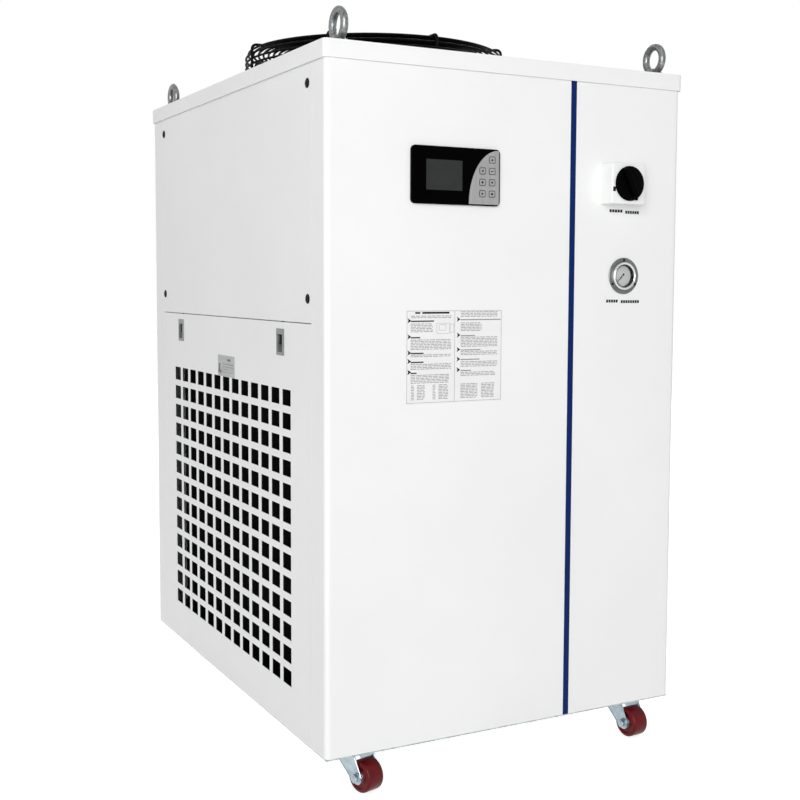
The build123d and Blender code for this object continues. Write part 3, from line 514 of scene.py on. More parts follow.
def revolve(bm, profile, place, segments=64, closed=False, material=0):
    """Turns (radius, height) points about Z and puts the result at place."""
    rings = []
    for radius, height in profile:
        ring = [place @ Vector((x, y, height)) for x, y in circle_points(radius, segments)]
        rings.append(ring)
    skin(bm, rings, closed=closed, material=material)


def pin(bm, radius, low, high, place, segments=32):
    """Adds a plain round pin from low to high along local Z."""
    profile = [(AXIS, low), (radius, low), (radius, high), (AXIS, high)]
    revolve(bm, profile, place, segments=segments)


def sweep(bm, points, radius, sides=8, closed=False, material=0):
    """Sweeps a round section along points without twist."""
    points = [Vector(p) for p in points]
    count = len(points)
    tangents = []
    for i in range(count):
        before = points[i - 1] if closed or i > 0 else points[i]
        after = points[(i + 1) % count] if closed or i < count - 1 else points[i]
        tangents.append((after - before).normalized())
    across = tangents[0].orthogonal().normalized()
    if closed:
        normal = sum((points[i].cross(points[(i + 1) % count]) for i in range(count)), Vector())
        across = normal.normalized()
    rings = []
    for point, tangent in zip(points, tangents):
        across = (across - tangent * across.dot(tangent)).normalized()
        side = tangent.cross(across)
        rings.append(
            [point + across * x + side * y for x, y in circle_points(radius, sides)]
        )
    skin(bm, rings, closed=closed, material=material)


def prism(bm, outline, low, high, place, bevel=0.0, material=0):
    """Extrudes an outline from low to high along local Z; bevel rounds the high end's rim."""
    if bevel:
        centre_x = sum(x for x, _ in outline) / len(outline)
        centre_y = sum(y for _, y in outline) / len(outline)
        rings = [[(x, y, low) for x, y in outline]]
        for step in range(4):
            angle = step / 3 * math.pi / 2
            inset = bevel * (1 - math.cos(angle))
            height = high - bevel * (1 - math.sin(angle))
            ring = []
            for x, y in outline:
                dx, dy = x - centre_x, y - centre_y
                reach = max(abs(dx), abs(dy), 1e-6)
                ring.append((x - dx / reach * inset, y - dy / reach * inset, height))
            rings.append(ring)
    else:
        rings = [[(x, y, z) for x, y in outline] for z in (low, high)]
    skin(bm, [[place @ Vector(p) for p in ring] for ring in rings], material=material)


def slab(bm, low, high, bevel=0.0, material=0, place=None):
    """Adds a box between two corners; a bevel rounds all its edges."""
    low, high = Vector(low), Vector(high)
    size = high - low
    made = bmesh.ops.create_cube(bm, size=1.0)["verts"]
    bmesh.ops.scale(bm, vec=size, verts=made)
    bmesh.ops.translate(bm, vec=(low + high) / 2, verts=made)
    faces = {face for vert in made for face in vert.link_faces}
    if bevel:
        edges = list({edge for vert in made for edge in vert.link_edges})
        done = bmesh.ops.bevel(
            bm, geom=edges, offset=bevel, segments=3, profile=0.5, affect="EDGES"
        )
        faces = {f for f in faces if f.is_valid} | set(done["faces"])
    verts = list({vert for face in faces for vert in face.verts})
    if place is not None:
        bmesh.ops.transform(bm, matrix=place, verts=verts)
    for face in faces:
        face.material_index = material


def cut_away(body, tool):
    """Cuts one closed shape out of another and returns what is left."""
    objects = []
    for bm in (body, tool):
        mesh = bpy.data.meshes.new("cutting")
        bm.to_mesh(mesh)
        bm.free()
        thing = bpy.data.objects.new("cutting", mesh)
        bpy.context.scene.collection.objects.link(thing)
        objects.append(thing)
    cut = objects[0].modifiers.new("cut", "BOOLEAN")
    cut.operation = "DIFFERENCE"
    cut.solver = "EXACT"
    cut.object = objects[1]
    bpy.context.view_layer.update()
    graph = bpy.context.evaluated_depsgraph_get()
    mesh = bpy.data.meshes.new_from_object(objects[0].evaluated_get(graph))
    result = bmesh.new()
    result.from_mesh(mesh)
    for thing in objects:
        data = thing.data
        bpy.data.objects.remove(thing)
        bpy.data.meshes.remove(data)
    bpy.data.meshes.remove(mesh)
    return result


def copy_into(bm, pattern, place):
    """Adds a copy of a pattern shape at place."""
    start = len(bm.verts)
    mesh = bpy.data.meshes.new("pattern")
    pattern.to_mesh(mesh)
    bm.from_mesh(mesh)
    bpy.data.meshes.remove(mesh)
    bm.verts.ensure_lookup_table()
    bmesh.ops.transform(bm, matrix=place, verts=bm.verts[start:])


def make_piece(bm, name, body, finishes, smooth=35.0):
    """Turns the shape, drawn in millimetres, into a piece that rides on a body."""
    bmesh.ops.recalc_face_normals(bm, faces=bm.faces)
    mesh = bpy.data.meshes.new(name)
    bm.to_mesh(mesh)
    bm.free()
    mesh.transform(Matrix.Scale(MM, 4))
    mesh.shade_smooth()
    mesh.set_sharp_from_angle(angle=math.radians(smooth))
    for finish in finishes:
        mesh.materials.append(build_finish(finish))
    piece = bpy.data.objects.new(name, mesh)
    bpy.context.scene.collection.objects.link(piece)
    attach(piece, body)
    return piece


def facing(direction, x, y, z):
    """Matrix at (x, y, z) whose local Z points out of the front, rear, left or right face."""
    outward = {"front": (0, -1, 0), "rear": (0, 1, 0), "left": (-1, 0, 0), "right": (1, 0, 0)}
    out = Vector(outward[direction])
    up = Vector((0, 0, 1))
    across = up.cross(out)
    turn = Matrix((across, up, out)).transposed().to_4x4()
    return Matrix.Translation((x, y, z)) @ turn


class CHILLER_OT_stage(bpy.types.Operator):
    """Camera, floor, world and lamps of the photograph"""

    bl_idname = "chiller.stage"
    bl_label = "Stage"

    def execute(self, context):
        scene = context.scene
        scene.view_settings.view_transform = "Standard"
        self.add_camera(scene)
        self.add_world(scene)
        self.add_floor(scene)
        # Key lamp: a large soft box high in front, a little to the left of the camera
        self.add_lamp(scene, "key_box", (-2.9, -4.5, 1.5), (0.0, 0.0, 0.55), 3.4, 210.0)
        # Fill: a wide box far to the left that keeps the intake side light grey
        self.add_lamp(scene, "side_box", (-4.8, 0.6, 2.0), (0.0, 0.0, 0.6), 3.0, 7.0)
        # Back light: a box high behind, so that the rear and the lid still read as white
        self.add_lamp(scene, "back_box", (3.2, 4.4, 3.8), (0.0, 0.0, 0.6), 3.4, 150.0)
        return {"FINISHED"}

    def add_camera(self, scene):
        """Places the camera that the photograph's perspective gives."""
        azimuth, pitch, roll = (math.radians(a) for a in (-28.074, 4.316, 0.272))
        level_reach = math.cos(pitch)
        forward = Vector((
            -math.sin(azimuth) * level_reach, math.cos(azimuth) * level_reach, -math.sin(pitch)
        ))
        level = Vector((math.cos(azimuth), math.sin(azimuth), 0.0))
        above = level.cross(forward)
        right = level * math.cos(roll) + above * math.sin(roll)
        up = above * math.cos(roll) - level * math.sin(roll)
        data = bpy.data.cameras.new("photo_camera")
        data.sensor_width = 36.0
        data.lens = 55.13
        data.shift_x = -0.0207
        data.shift_y = -0.0317
        data.clip_end = 60.0
        camera = bpy.data.objects.new("photo_camera", data)
        turn = Matrix((right, up, -forward)).transposed().to_4x4()
        camera.matrix_world = Matrix.Translation((-1.0467, -2.0711, 0.7812)) @ turn
        scene.collection.objects.link(camera)
        scene.camera = camera

    def add_world(self, scene):
        """A pale even world that metal and glass see as the white background."""
        world = bpy.data.worlds.new("pale_room")
        world.use_nodes = True
        tree = world.node_tree
        tree.nodes.clear()
        lighting = add_node(
            tree, "ShaderNodeBackground", {"Color": (1.0, 1.0, 1.0, 1.0), "Strength": 0.42}
        )
        white = add_node(
            tree, "ShaderNodeBackground", {"Color": (1.0, 1.0, 1.0, 1.0), "Strength": 1.0}
        )
        either = add_node(
            tree, "ShaderNodeMixShader",
            {0: seeing_rays(tree), 1: lighting.outputs[0], 2: white.outputs[0]},
        )
        add_node(tree, "ShaderNodeOutputWorld", {"Surface": either.outputs[0]})
        scene.world = world

    def add_floor(self, scene):
        """A pale matt floor that reads as white and still takes the shadow."""
        bm = bmesh.new()
        bmesh.ops.create_grid(bm, x_segments=8, y_segments=8, size=15.0)
        mesh = bpy.data.meshes.new("studio_floor")
        bm.to_mesh(mesh)
        bm.free()
        floor = bpy.data.objects.new("studio_floor", mesh)
        scene.collection.objects.link(floor)
        material = bpy.data.materials.new("white_studio_vinyl")
        material.use_nodes = True
        tree = material.node_tree
        tree.nodes.clear()
        lift = add_node(
            tree, "ShaderNodeMath", {0: seeing_rays(tree), 1: 0.74}, operation="MULTIPLY"
        )
        matt = add_node(tree, "ShaderNodeBsdfDiffuse", {"Color": linear("#d8d8d8")})
        glow = add_node(
            tree, "ShaderNodeEmission",
            {"Color": (1.0, 1.0, 1.0, 1.0), "Strength": lift.outputs[0]},
        )
        both = add_node(
            tree, "ShaderNodeAddShader", {0: matt.outputs[0], 1: glow.outputs[0]}
        )
        add_node(tree, "ShaderNodeOutputMaterial", {"Surface": both.outputs[0]})
        mesh.materials.append(material)

    def add_lamp(self, scene, name, place, target, size, power):
        """Hangs one square soft box that faces its target."""
        data = bpy.data.lights.new(name, "AREA")
        data.shape = "SQUARE"
        data.size = size
        data.energy = power
        lamp = bpy.data.objects.new(name, data)
        aim = Vector(target) - Vector(place)
        turn = aim.to_track_quat("-Z", "Y").to_matrix().to_4x4()
        lamp.matrix_world = Matrix.Translation(place) @ turn
        scene.collection.objects.link(lamp)


class CHILLER_OT_frame_finishes(bpy.types.Operator):
    """Gives every node of the frame its finish"""

    bl_idname = "chiller.frame_finishes"
    bl_label = "Frame finishes"

    def execute(self, context):
        for finish, names in NODE_FINISHES.items():
            for name in names:
                self.coat(name, build_finish(finish))
        self.coat("gauge_lens", build_lens())
        return {"FINISHED"}

    def coat(self, name, material):
        """Puts one material into all slots of a node."""
        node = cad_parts[name]
        if not node.material_slots:
            node.data.materials.append(material)
        for slot in node.material_slots:
            slot.material = material


class CHILLER_OT_fan_guard(bpy.types.Operator):
    """Wire guard: rings welded inside eight bars that bend down to the cover"""

    bl_idname = "chiller.fan_guard"
    bl_label = "Fan guard"

    def execute(self, context):
        sizes = context.scene.chiller_sizes
        ring_wire = sizes.guard_ring_wire / MM / 2
        bar_wire = sizes.guard_bar_wire / MM / 2
        pitch = sizes.guard_ring_pitch / MM
        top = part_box("fan_guard")[1].z / MM
        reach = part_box("fan_guard")[1].x / MM
        bar_level = top - bar_wire
        ring_level = top - 2 * bar_wire - ring_wire
        bar_radius = reach - bar_wire
        side_radius = bar_radius - bar_wire - ring_wire
        corner = 9.0
        bm = bmesh.new()
        radius = side_radius - corner / 2
        while radius > 70.0:
            self.ring(bm, radius, ring_level, ring_wire)
            radius -= pitch
        level = ring_level - corner
        while level > COVER_TOP + 12.0:
            self.ring(bm, side_radius, level, ring_wire)
            level -= pitch
        self.ring(bm, side_radius, COVER_TOP + bar_wire, bar_wire)
        centre = Matrix.Translation((FAN_X, FAN_Y, 0))
        for number in range(8):
            turn = centre @ Matrix.Rotation(number * math.pi / 4, 4, "Z")
            path = [Vector((54.0, 0, bar_level)), Vector((150.0, 0, bar_level))]
            for x, z in circle_points(corner, 6, math.pi / 2, -math.pi / 2):
                path.append(Vector((bar_radius - corner + x, 0, bar_level - corner + z)))
            path.append(Vector((bar_radius, 0, COVER_TOP + 1.2)))
            sweep(bm, [turn @ p for p in path], bar_wire, sides=10)
        # Motor plate under the bars, dished, with its four rivets between the bars
        rivet_circle, first_rivet = 44.0, 67.5
        plate_top = top - 2 * bar_wire
        plate_profile = [
            (AXIS, plate_top - 2.4), (64.0, plate_top - 2.4), (66.0, plate_top - 1.8),
            (66.0, plate_top - 0.6), (65.0, plate_top), (AXIS, plate_top),
        ]
        revolve(bm, plate_profile, centre, segments=72)
        for number in range(4):
            angle = math.radians(first_rivet + 90 * number)
            x, y = rivet_circle * math.cos(angle), rivet_circle * math.sin(angle)
            foot = centre @ Matrix.Translation((x, y, 0))
            rivet = [
                (4.6, plate_top), (4.4, plate_top + 1.2), (2.6, plate_top + 2.4),
                (AXIS, plate_top + 2.8),
            ]
            revolve(bm, rivet, foot, segments=20)
        piece = make_piece(bm, "wire_guard", "cabinet", ["black_dipped_wire"])
        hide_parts("fan_guard")
        return {"FINISHED"}

    def ring(self, bm, radius, level, wire):
        """Adds one closed ring of wire about the fan's axis."""
        section = circle_points(wire, 8)
        profile = [(radius + x, level + z) for x, z in section]
        revolve(bm, profile, Matrix.Translation((FAN_X, FAN_Y, 0)), segments=96, closed=True)


class CHILLER_OT_fan_rotor(bpy.types.Operator):
    """Rotor can of the fan's motor with five swept, twisted blades"""

    bl_idname = "chiller.fan_rotor"
    bl_label = "Fan rotor"

    can_radius, can_height, shaft_radius = 60.0, 80.0, 8.0
    tip_radius, blades = 214.0, 5

    def execute(self, context):
        low, high = (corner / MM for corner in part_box("fan_impeller"))
        can_top = low.z + self.can_height
        axis = Matrix.Translation((FAN_X, FAN_Y, 0))
        reach = self.can_radius
        bm = bmesh.new()
        revolve(bm, [
            (AXIS, low.z), (reach - 8.0, low.z), (reach - 2.5, low.z + 2.5), (reach, low.z + 7.0),
            (reach, can_top - 5.0), (reach - 2.0, can_top - 1.5), (reach - 6.0, can_top),
            (AXIS, can_top),
        ], axis, segments=72)
        pin(bm, self.shaft_radius, can_top - 1.0, high.z, axis)
        for number in range(self.blades):
            turn = axis @ Matrix.Rotation(number * 2 * math.pi / self.blades, 4, "Z")
            self.blade(bm, turn, low.z + self.can_height / 2)
        piece = make_piece(
            bm, "bladed_rotor", "fan", ["black_moulded_nylon"], smooth=40.0
        )
        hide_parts("fan_impeller")
        return {"FINISHED"}

    def blade(self, bm, turn, middle):
        """Adds one blade, whose sections wrap round the axis from the can to the tip."""
        stations, count = 12, 12
        rings = []
        for station in range(stations):
            share = station / (stations - 1)
            radius = self.can_radius - 3.0 + share * (self.tip_radius - self.can_radius + 3.0)
            pitch = math.radians(38.0 - 12.0 * share)
            rounding = max(0.0, (share - 0.75) / 0.25)
            chord = (88.0 + 30.0 * share) * (1.0 - 0.3 * rounding ** 2)
            camber = 11.0 - 4.0 * share
            sweep = math.radians(14.0) * share * share
            half_sheet = 1.8 - 0.6 * share
            ring = []
            for side in (1, -1):
                for step in range(count):
                    across = side * (2 * (step + 0.5) / count - 1)
                    edge = math.sqrt(1 - across ** 4)
                    lift = camber * (1 - across * across) + side * half_sheet * edge
                    along = across * chord / 2 * math.cos(pitch) - lift * math.sin(pitch)
                    rise = across * chord / 2 * math.sin(pitch) + lift * math.cos(pitch)
                    angle = sweep + along / radius
                    ring.append(turn @ Vector((
                        radius * math.cos(angle), radius * math.sin(angle), middle + rise
                    )))
            rings.append(ring)
        skin(bm, rings)


class CHILLER_OT_eye_bolts(bpy.types.Operator):
    """Four forged lifting eyes with their collars"""

    bl_idname = "chiller.eye_bolts"
    bl_label = "Lifting eyes"

    def execute(self, context):
        low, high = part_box("eye_bolts")
        section = 6.0
        major = 21.0
        centre_z = high.z / MM - major - section
        # The ring's plane faces X, so its thickness gives the outer x of the node less half a wire
        x_reach = high.x / MM - 15.0
        y_reach = high.y / MM - major - section
        bm = bmesh.new()
        for sx in (-1, 1):
            for sy in (-1, 1):
                centre = Vector((sx * x_reach, sy * y_reach, centre_z))
                self.torus(bm, centre, major, section)
                foot = Matrix.Translation((centre.x, centre.y, COVER_TOP))
                collar = [
                    (AXIS, 0.02), (14.6, 0.02), (15.0, 0.6), (15.0, 3.4), (14.2, 4.6), (11.6, 5.8),
                    (9.6, 7.4), (8.6, 9.4), (7.4, 11.2), (AXIS, 11.4),
                ]
                revolve(bm, collar, foot, segments=40)
                for side in (-1, 1):
                    lump = foot @ Matrix.Translation((0, side * 9.0, 8.6))
                    bead = [(AXIS, -3.6), (2.6, -2.8), (3.7, 0.0), (2.6, 2.8), (AXIS, 3.6)]
                    revolve(bm, bead, lump, segments=20)
                shank = [(AXIS, -24.0), (5.2, -24.0), (5.9, -23.2), (5.9, 0.4), (AXIS, 0.4)]
                revolve(bm, shank, foot, segments=24)
        piece = make_piece(bm, "forged_eyes", "cabinet", ["forged_zinc_steel"], smooth=50.0)
        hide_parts("eye_bolts")
        return {"FINISHED"}

    def torus(self, bm, centre, major, section):
        """Adds one ring that stands in the YZ plane."""
        rings = []
        for i in range(56):
            angle = 2 * math.pi * i / 56
            out = Vector((0, math.cos(angle), math.sin(angle)))
            ring = [
                centre + out * (major + x) + Vector((z, 0, 0))
                for x, z in circle_points(section, 18)
            ]
            rings.append(ring)
        skin(bm, rings, closed=True)


class CHILLER_OT_panel_screws(bpy.types.Operator):
    """Round-headed screws of the side and rear panels"""

    bl_idname = "chiller.panel_screws"
    bl_label = "Panel screws"

    def execute(self, context):
        radius = context.scene.chiller_sizes.screw_head / MM / 2
        head = self.cross_head(radius)
        bm = bmesh.new()
        for y in (-370.0, 364.0):
            for z in (755.5, 1074.5):
                copy_into(bm, head, facing("left", LEFT_FACE, y, z))
            for z in (104.0, 1074.5):
                copy_into(bm, head, facing("right", RIGHT_FACE, y, z))
        for x in (-300.0, 300.0):
            for z in (104.0, 590.0, 1074.5):
                copy_into(bm, head, facing("rear", x, REAR_FACE, z))
        head.free()
        make_piece(bm, "panel_screws", "cabinet", ["black_zinc_plate"])
        return {"FINISHED"}

    def cross_head(self, radius):
        """Builds one domed head with its cross recess."""
        head = bmesh.new()
        rise = 2.3
        dome = [(AXIS, -0.6), (radius * 0.98, -0.6), (radius, 0.3)]
        for step in range(1, 6):
            angle = step / 5 * math.pi / 2
            dome.append((max(radius * math.cos(angle), AXIS), 0.3 + (rise - 0.3) * math.sin(angle)))
        revolve(head, dome, Matrix.Identity(4), segments=36)
        bmesh.ops.recalc_face_normals(head, faces=head.faces)
        tool = bmesh.new()
        arm, half = radius * 0.5, radius * 0.13
        cross = [
            (half, half), (half, arm), (-half, arm), (-half, half), (-arm, half), (-arm, -half),
            (-half, -half), (-half, -arm), (half, -arm), (half, -half), (arm, -half), (arm, half),
        ]
        prism(tool, cross, 0.9, 5.0, Matrix.Identity(4))
        bmesh.ops.recalc_face_normals(tool, faces=tool.faces)
        return cut_away(head, tool)


class CHILLER_OT_front_label(bpy.types.Operator):
    """Paper label under the controller, with bars in place of its print"""

    bl_idname = "chiller.front_label"
    bl_label = "Front label"

    left, right, bottom, top = -192.0, -22.5, 595.7, 738.8

    def execute(self, context):
        width, height = self.right - self.left, self.top - self.bottom
        middle_x, middle_z = (self.left + self.right) / 2, (self.top + self.bottom) / 2
        centre = facing("front", middle_x, FRONT_FACE, middle_z)
        bm = bmesh.new()
        prism(bm, rounded_outline(width, height, 2.0), 0.0, 0.18, centre)
        make_piece(bm, "label_sheet", "cabinet", ["laminated_label"])
        dark, grey = bmesh.new(), bmesh.new()
        random.seed(11)
        self.frames(grey)
        # Each block: start and end across, then first and last line down, as shares of the label
        blocks = (
            (0.05, 0.46, 0.062, 0.085), (0.045, 0.27, 0.145, 0.235), (0.045, 0.46, 0.315, 0.42),
            (0.045, 0.46, 0.475, 0.505), (0.045, 0.46, 0.575, 0.64), (0.045, 0.44, 0.69, 0.78),
            (0.56, 0.95, 0.02, 0.085), (0.56, 0.78, 0.14, 0.235), (0.56, 0.95, 0.295, 0.40),
            (0.56, 0.95, 0.45, 0.49), (0.56, 0.95, 0.56, 0.62), (0.56, 0.93, 0.675, 0.72),
        )
        for start, end, first, last in blocks:
            self.lines(grey, start, end, first, last)
        columns = (
            (0.05, 0.08), (0.11, 0.19), (0.27, 0.30), (0.33, 0.43), (0.56, 0.74), (0.78, 0.92),
        )
        for start, end in columns:
            self.lines(grey, start, end, 0.80, 0.955)
        for v in (0.11, 0.28, 0.45, 0.54, 0.655):
            self.arrow(dark, 0.012, v)
        for v in (0.10, 0.27, 0.425, 0.53, 0.645):
            self.arrow(dark, 0.518, v)
        heads = (
            (0.09, 0.14, 0.028, 2.6), (0.16, 0.44, 0.028, 2.8), (0.045, 0.28, 0.116, 2.0),
            (0.045, 0.14, 0.29, 2.0), (0.045, 0.175, 0.457, 2.0), (0.045, 0.175, 0.552, 2.0),
            (0.045, 0.105, 0.667, 2.0),
        )
        for start, end, v, tall in heads:
            self.bar(dark, start, end, v, tall)
        for start, end, v in (
            (0.56, 0.985, 0.105), (0.56, 0.71, 0.278), (0.56, 0.77, 0.432), (0.56, 0.76, 0.535),
            (0.56, 0.67, 0.655),
        ):
            self.bar(grey, start, end, v, 1.6)
        make_piece(dark, "label_headings", "cabinet", ["screen_print_ink"])
        make_piece(grey, "label_lines", "cabinet", ["half_tone_ink"])
        return {"FINISHED"}

    def spot(self, u, v):
        """Place on the label, from shares of its width and height."""
        return (
            self.left + u * (self.right - self.left), self.top - v * (self.top - self.bottom)
        )

    def bar(self, bm, start, end, v, tall):
        """Adds one printed bar."""
        x0, z = self.spot(start, v)
        x1, _ = self.spot(end, v)
        slab(bm, (x0, FRONT_FACE - 0.24, z - tall / 2), (x1, FRONT_FACE - 0.1, z + tall / 2))

    def lines(self, bm, start, end, first, last):
        """Fills a block with rows of dashes, each as long as a word."""
        v = first
        while v <= last + 1e-6:
            u = start
            while u < end - 0.012:
                length = min(random.uniform(0.02, 0.06), end - u)
                self.bar(bm, u, u + length, v, 1.0)
                u += length + 0.008
            v += 0.0165

    def arrow(self, bm, u, v):
        """Adds one solid arrow head that points right."""
        x, z = self.spot(u, v)
        outline = [(0.0, -4.0), (6.4, 0.0), (0.0, 4.0), (1.4, 0.0)]
        prism(bm, outline, 0.1, 0.26, facing("front", x, FRONT_FACE, z))

    def frames(self, bm):
        """Adds the thin frame, the divider and the outline of a plain drawing."""
        for u in (0.006, 0.496, 0.992):
            self.upright(bm, u, 0.008, 0.985, 0.55)
        for v in (0.008, 0.985):
            self.bar(bm, 0.006, 0.994, v, 0.55)
        drawing = (
            (0.31, 0.44, 0.14, 0.25), (0.335, 0.405, 0.155, 0.215), (0.45, 0.485, 0.15, 0.24),
        )
        for u0, u1, v0, v1 in drawing:
            self.upright(bm, u0, v0, v1, 0.4)
            self.upright(bm, u1, v0, v1, 0.4)
            self.bar(bm, u0, u1, v0, 0.4)
            self.bar(bm, u0, u1, v1, 0.4)

    def upright(self, bm, u, first, last, wide):
        """Adds one upright line."""
        x, z0 = self.spot(u, last)
        _, z1 = self.spot(u, first)
        slab(bm, (x - wide / 2, FRONT_FACE - 0.24, z0), (x + wide / 2, FRONT_FACE - 0.1, z1))


class CHILLER_OT_captions(bpy.types.Operator):
    """Bars under the switch and the gauge, and the grey plate on the intake side"""

    bl_idname = "chiller.captions"
    bl_label = "Captions and side plate"

    def execute(self, context):
        bm = bmesh.new()
        self.word(bm, 183.0, 210.0, 899.5, 5)
        self.word(bm, 215.0, 244.0, 898.0, 6)
        self.word(bm, 179.0, 203.5, 751.6, 5)
        self.word(bm, 209.0, 247.5, 750.6, 8)
        make_piece(bm, "caption_bars", "cabinet", ["screen_print_ink"])

        middle_y, middle_z = -1.5, 631.2
        plate = bmesh.new()
        centre = facing("left", LEFT_FACE, middle_y, middle_z)
        prism(plate, rounded_outline(87.0, 37.4, 2.0), 0.0, 0.5, centre)
        make_piece(plate, "side_plate", "cabinet", ["anodised_plate"])
        fields = bmesh.new()
        for x0, x1, z0, z1 in (
            (6.0, 24.0, 9.0, 13.0), (-41.0, -24.0, -13.5, -8.0), (-39.0, -31.0, -8.0, 4.0),
            (-18.0, 38.0, 2.6, 3.6), (-18.0, 38.0, -2.0, -1.2), (-18.0, 12.0, -6.6, -5.8),
            (-18.0, 30.0, -11.2, -10.4),
        ):
            slab(fields, (x0, z0, 0.4), (x1, z1, 0.56), place=centre)
        make_piece(fields, "side_plate_fields", "cabinet", ["half_tone_dark_ink"])
        return {"FINISHED"}

    def word(self, bm, start, end, level, count):
        """Adds a row of small blocks as long as one word."""
        pitch = (end - start) / count
        for number in range(count):
            x = start + number * pitch
            end_x = x + pitch * 0.8
            slab(
                bm, (x, FRONT_FACE - 0.12, level - 2.4), (end_x, FRONT_FACE + 0.05, level + 2.4)
            )


class CHILLER_OT_controller_marks(bpy.types.Operator):
    """Printed outlines and plain symbols on the seven keys"""

    bl_idname = "chiller.controller_marks"
    bl_label = "Controller marks"

    def execute(self, context):
        arrow = [(-2.2, -1.6), (2.2, -1.6), (0.0, 2.2)]
        bar = [(-2.2, -0.7), (2.2, -0.7), (2.2, 0.7), (-2.2, 0.7)]
        square = [(-1.7, -1.7), (1.7, -1.7), (1.7, 1.7), (-1.7, 1.7)]
        symbols = {
            1: arrow, 2: bar, 3: [(x, -y) for x, y in arrow], 4: square,
            5: [(-y, x) for x, y in arrow], 6: circle_points(1.9, 16),
            7: [(y, x) for x, y in arrow],
        }
        for number, symbol in symbols.items():
            low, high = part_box("key_" + str(number))
            x, z = (low.x + high.x) / 2 / MM, (low.z + high.z) / 2 / MM
            place = facing("front", x, low.y / MM, z)
            bm = bmesh.new()
            outer = rounded_outline(11.2, 10.2, 2.6)
            inner = rounded_outline(9.6, 8.6, 1.9)
            rings = []
            for outline, level in ((outer, -0.05), (outer, 0.06), (inner, 0.06), (inner, -0.05)):
                rings.append([place @ Vector((px, py, level)) for px, py in outline])
            skin(bm, rings, closed=True)
            prism(bm, symbol, -0.05, 0.06, place)
            make_piece(
                bm, "key_print_" + str(number), "key_body_" + str(number),
                ["screen_print_ink"],
            )
        return {"FINISHED"}


class CHILLER_OT_pressure_gauge(bpy.types.Operator):
    """Gauge body with its flange and raised ring, and the dial's scale"""

    bl_idname = "chiller.pressure_gauge"
    bl_label = "Pressure gauge"

    def execute(self, context):
        low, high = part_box("gauge_case")
        x, z = (low.x + high.x) / 2 / MM, (low.z + high.z) / 2 / MM
        place = facing("front", x, FRONT_FACE, z)
        front = FRONT_FACE - low.y / MM
        back = FRONT_FACE - high.y / MM
        dial = FRONT_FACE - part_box("gauge_dial")[1].y / MM
        flange = bmesh.new()
        revolve(flange, [
            (AXIS, back), (19.6, back), (20.5, back + 1.0), (20.5, 0.0), (29.4, 0.0), (30.0, 0.5),
            (30.0, 1.2), (29.2, 1.9), (26.4, 2.0), (24.6, 1.6), (23.8, 2.2), (23.4, 3.2),
            (20.0, 3.2), (20.0, dial), (AXIS, dial),
        ], place, segments=96)
        ring = [
            (23.4, 2.4), (23.2, front - 2.0), (22.4, front - 0.7), (21.2, front),
            (20.2, front - 0.2), (19.6, front - 0.8), (18.9, front - 1.4), (18.6, front - 2.0),
            (18.6, dial + 0.1), (20.6, dial + 0.1), (20.6, 2.4),
        ]
        revolve(flange, ring, place, segments=96, closed=True, material=1)
        inner = [
            (18.59, front - 1.6), (17.6, front - 2.2), (17.2, dial + 0.2), (18.59, dial + 0.2),
        ]
        revolve(flange, inner, place, segments=96, closed=True, material=2)
        for angle in (90, 210, 330):
            px, py = 26.6 * math.cos(math.radians(angle)), 26.6 * math.sin(math.radians(angle))
            stud = place @ Matrix.Translation((px, py, 0))
            head = [(2.1, 1.4), (2.0, 2.4), (1.4, 2.9), (AXIS, 3.0)]
            revolve(flange, head, stud, segments=20, material=2)
        piece = make_piece(
            flange, "gauge_body", "cabinet",
            ["satin_stainless", "polished_chromium", "black_zinc_plate"],
        )
        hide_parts("gauge_case")
        self.scale(place, dial)
        return {"FINISHED"}

    def scale(self, place, dial):
        """Prints the ticks and the plain numbers of a 270 degree scale."""
        bm = bmesh.new()
        steps = 30
        for step in range(steps + 1):
            angle = math.radians(225 - 270 * step / steps)
            long_tick = step % 5 == 0
            inner, wide = (12.4, 0.42) if long_tick else (14.2, 0.24)
            turn = place @ Matrix.Rotation(angle, 4, "Z")
            slab(bm, (inner, -wide, dial - 0.05), (16.8, wide, dial + 0.06), place=turn)
        for number in range(0, 7, 2):
            angle = math.radians(225 - 270 * number / 6)
            self.digit(bm, str(number), place, 10.6 * math.cos(angle), 10.6 * math.sin(angle), dial)
        make_piece(bm, "dial_scale", "cabinet", ["screen_print_ink"])

    def digit(self, bm, text, place, x, y, dial):
        """Adds one number, centred on its place."""
        curve = bpy.data.curves.new("digit", "FONT")
        curve.body = text
        curve.size = 5.4
        curve.align_x = "CENTER"
        curve.align_y = "CENTER"
        curve.extrude = 0.05
        curve.resolution_u = 3
        thing = bpy.data.objects.new("digit", curve)
        bpy.context.scene.collection.objects.link(thing)
        bpy.context.view_layer.update()
        mesh = bpy.data.meshes.new_from_object(
            thing.evaluated_get(bpy.context.evaluated_depsgraph_get())
        )
        shape = bmesh.new()
        shape.from_mesh(mesh)
        copy_into(bm, shape, place @ Matrix.Translation((x, y, dial + 0.01)))
        shape.free()
        bpy.data.objects.remove(thing)
        bpy.data.curves.remove(curve)
        bpy.data.meshes.remove(mesh)


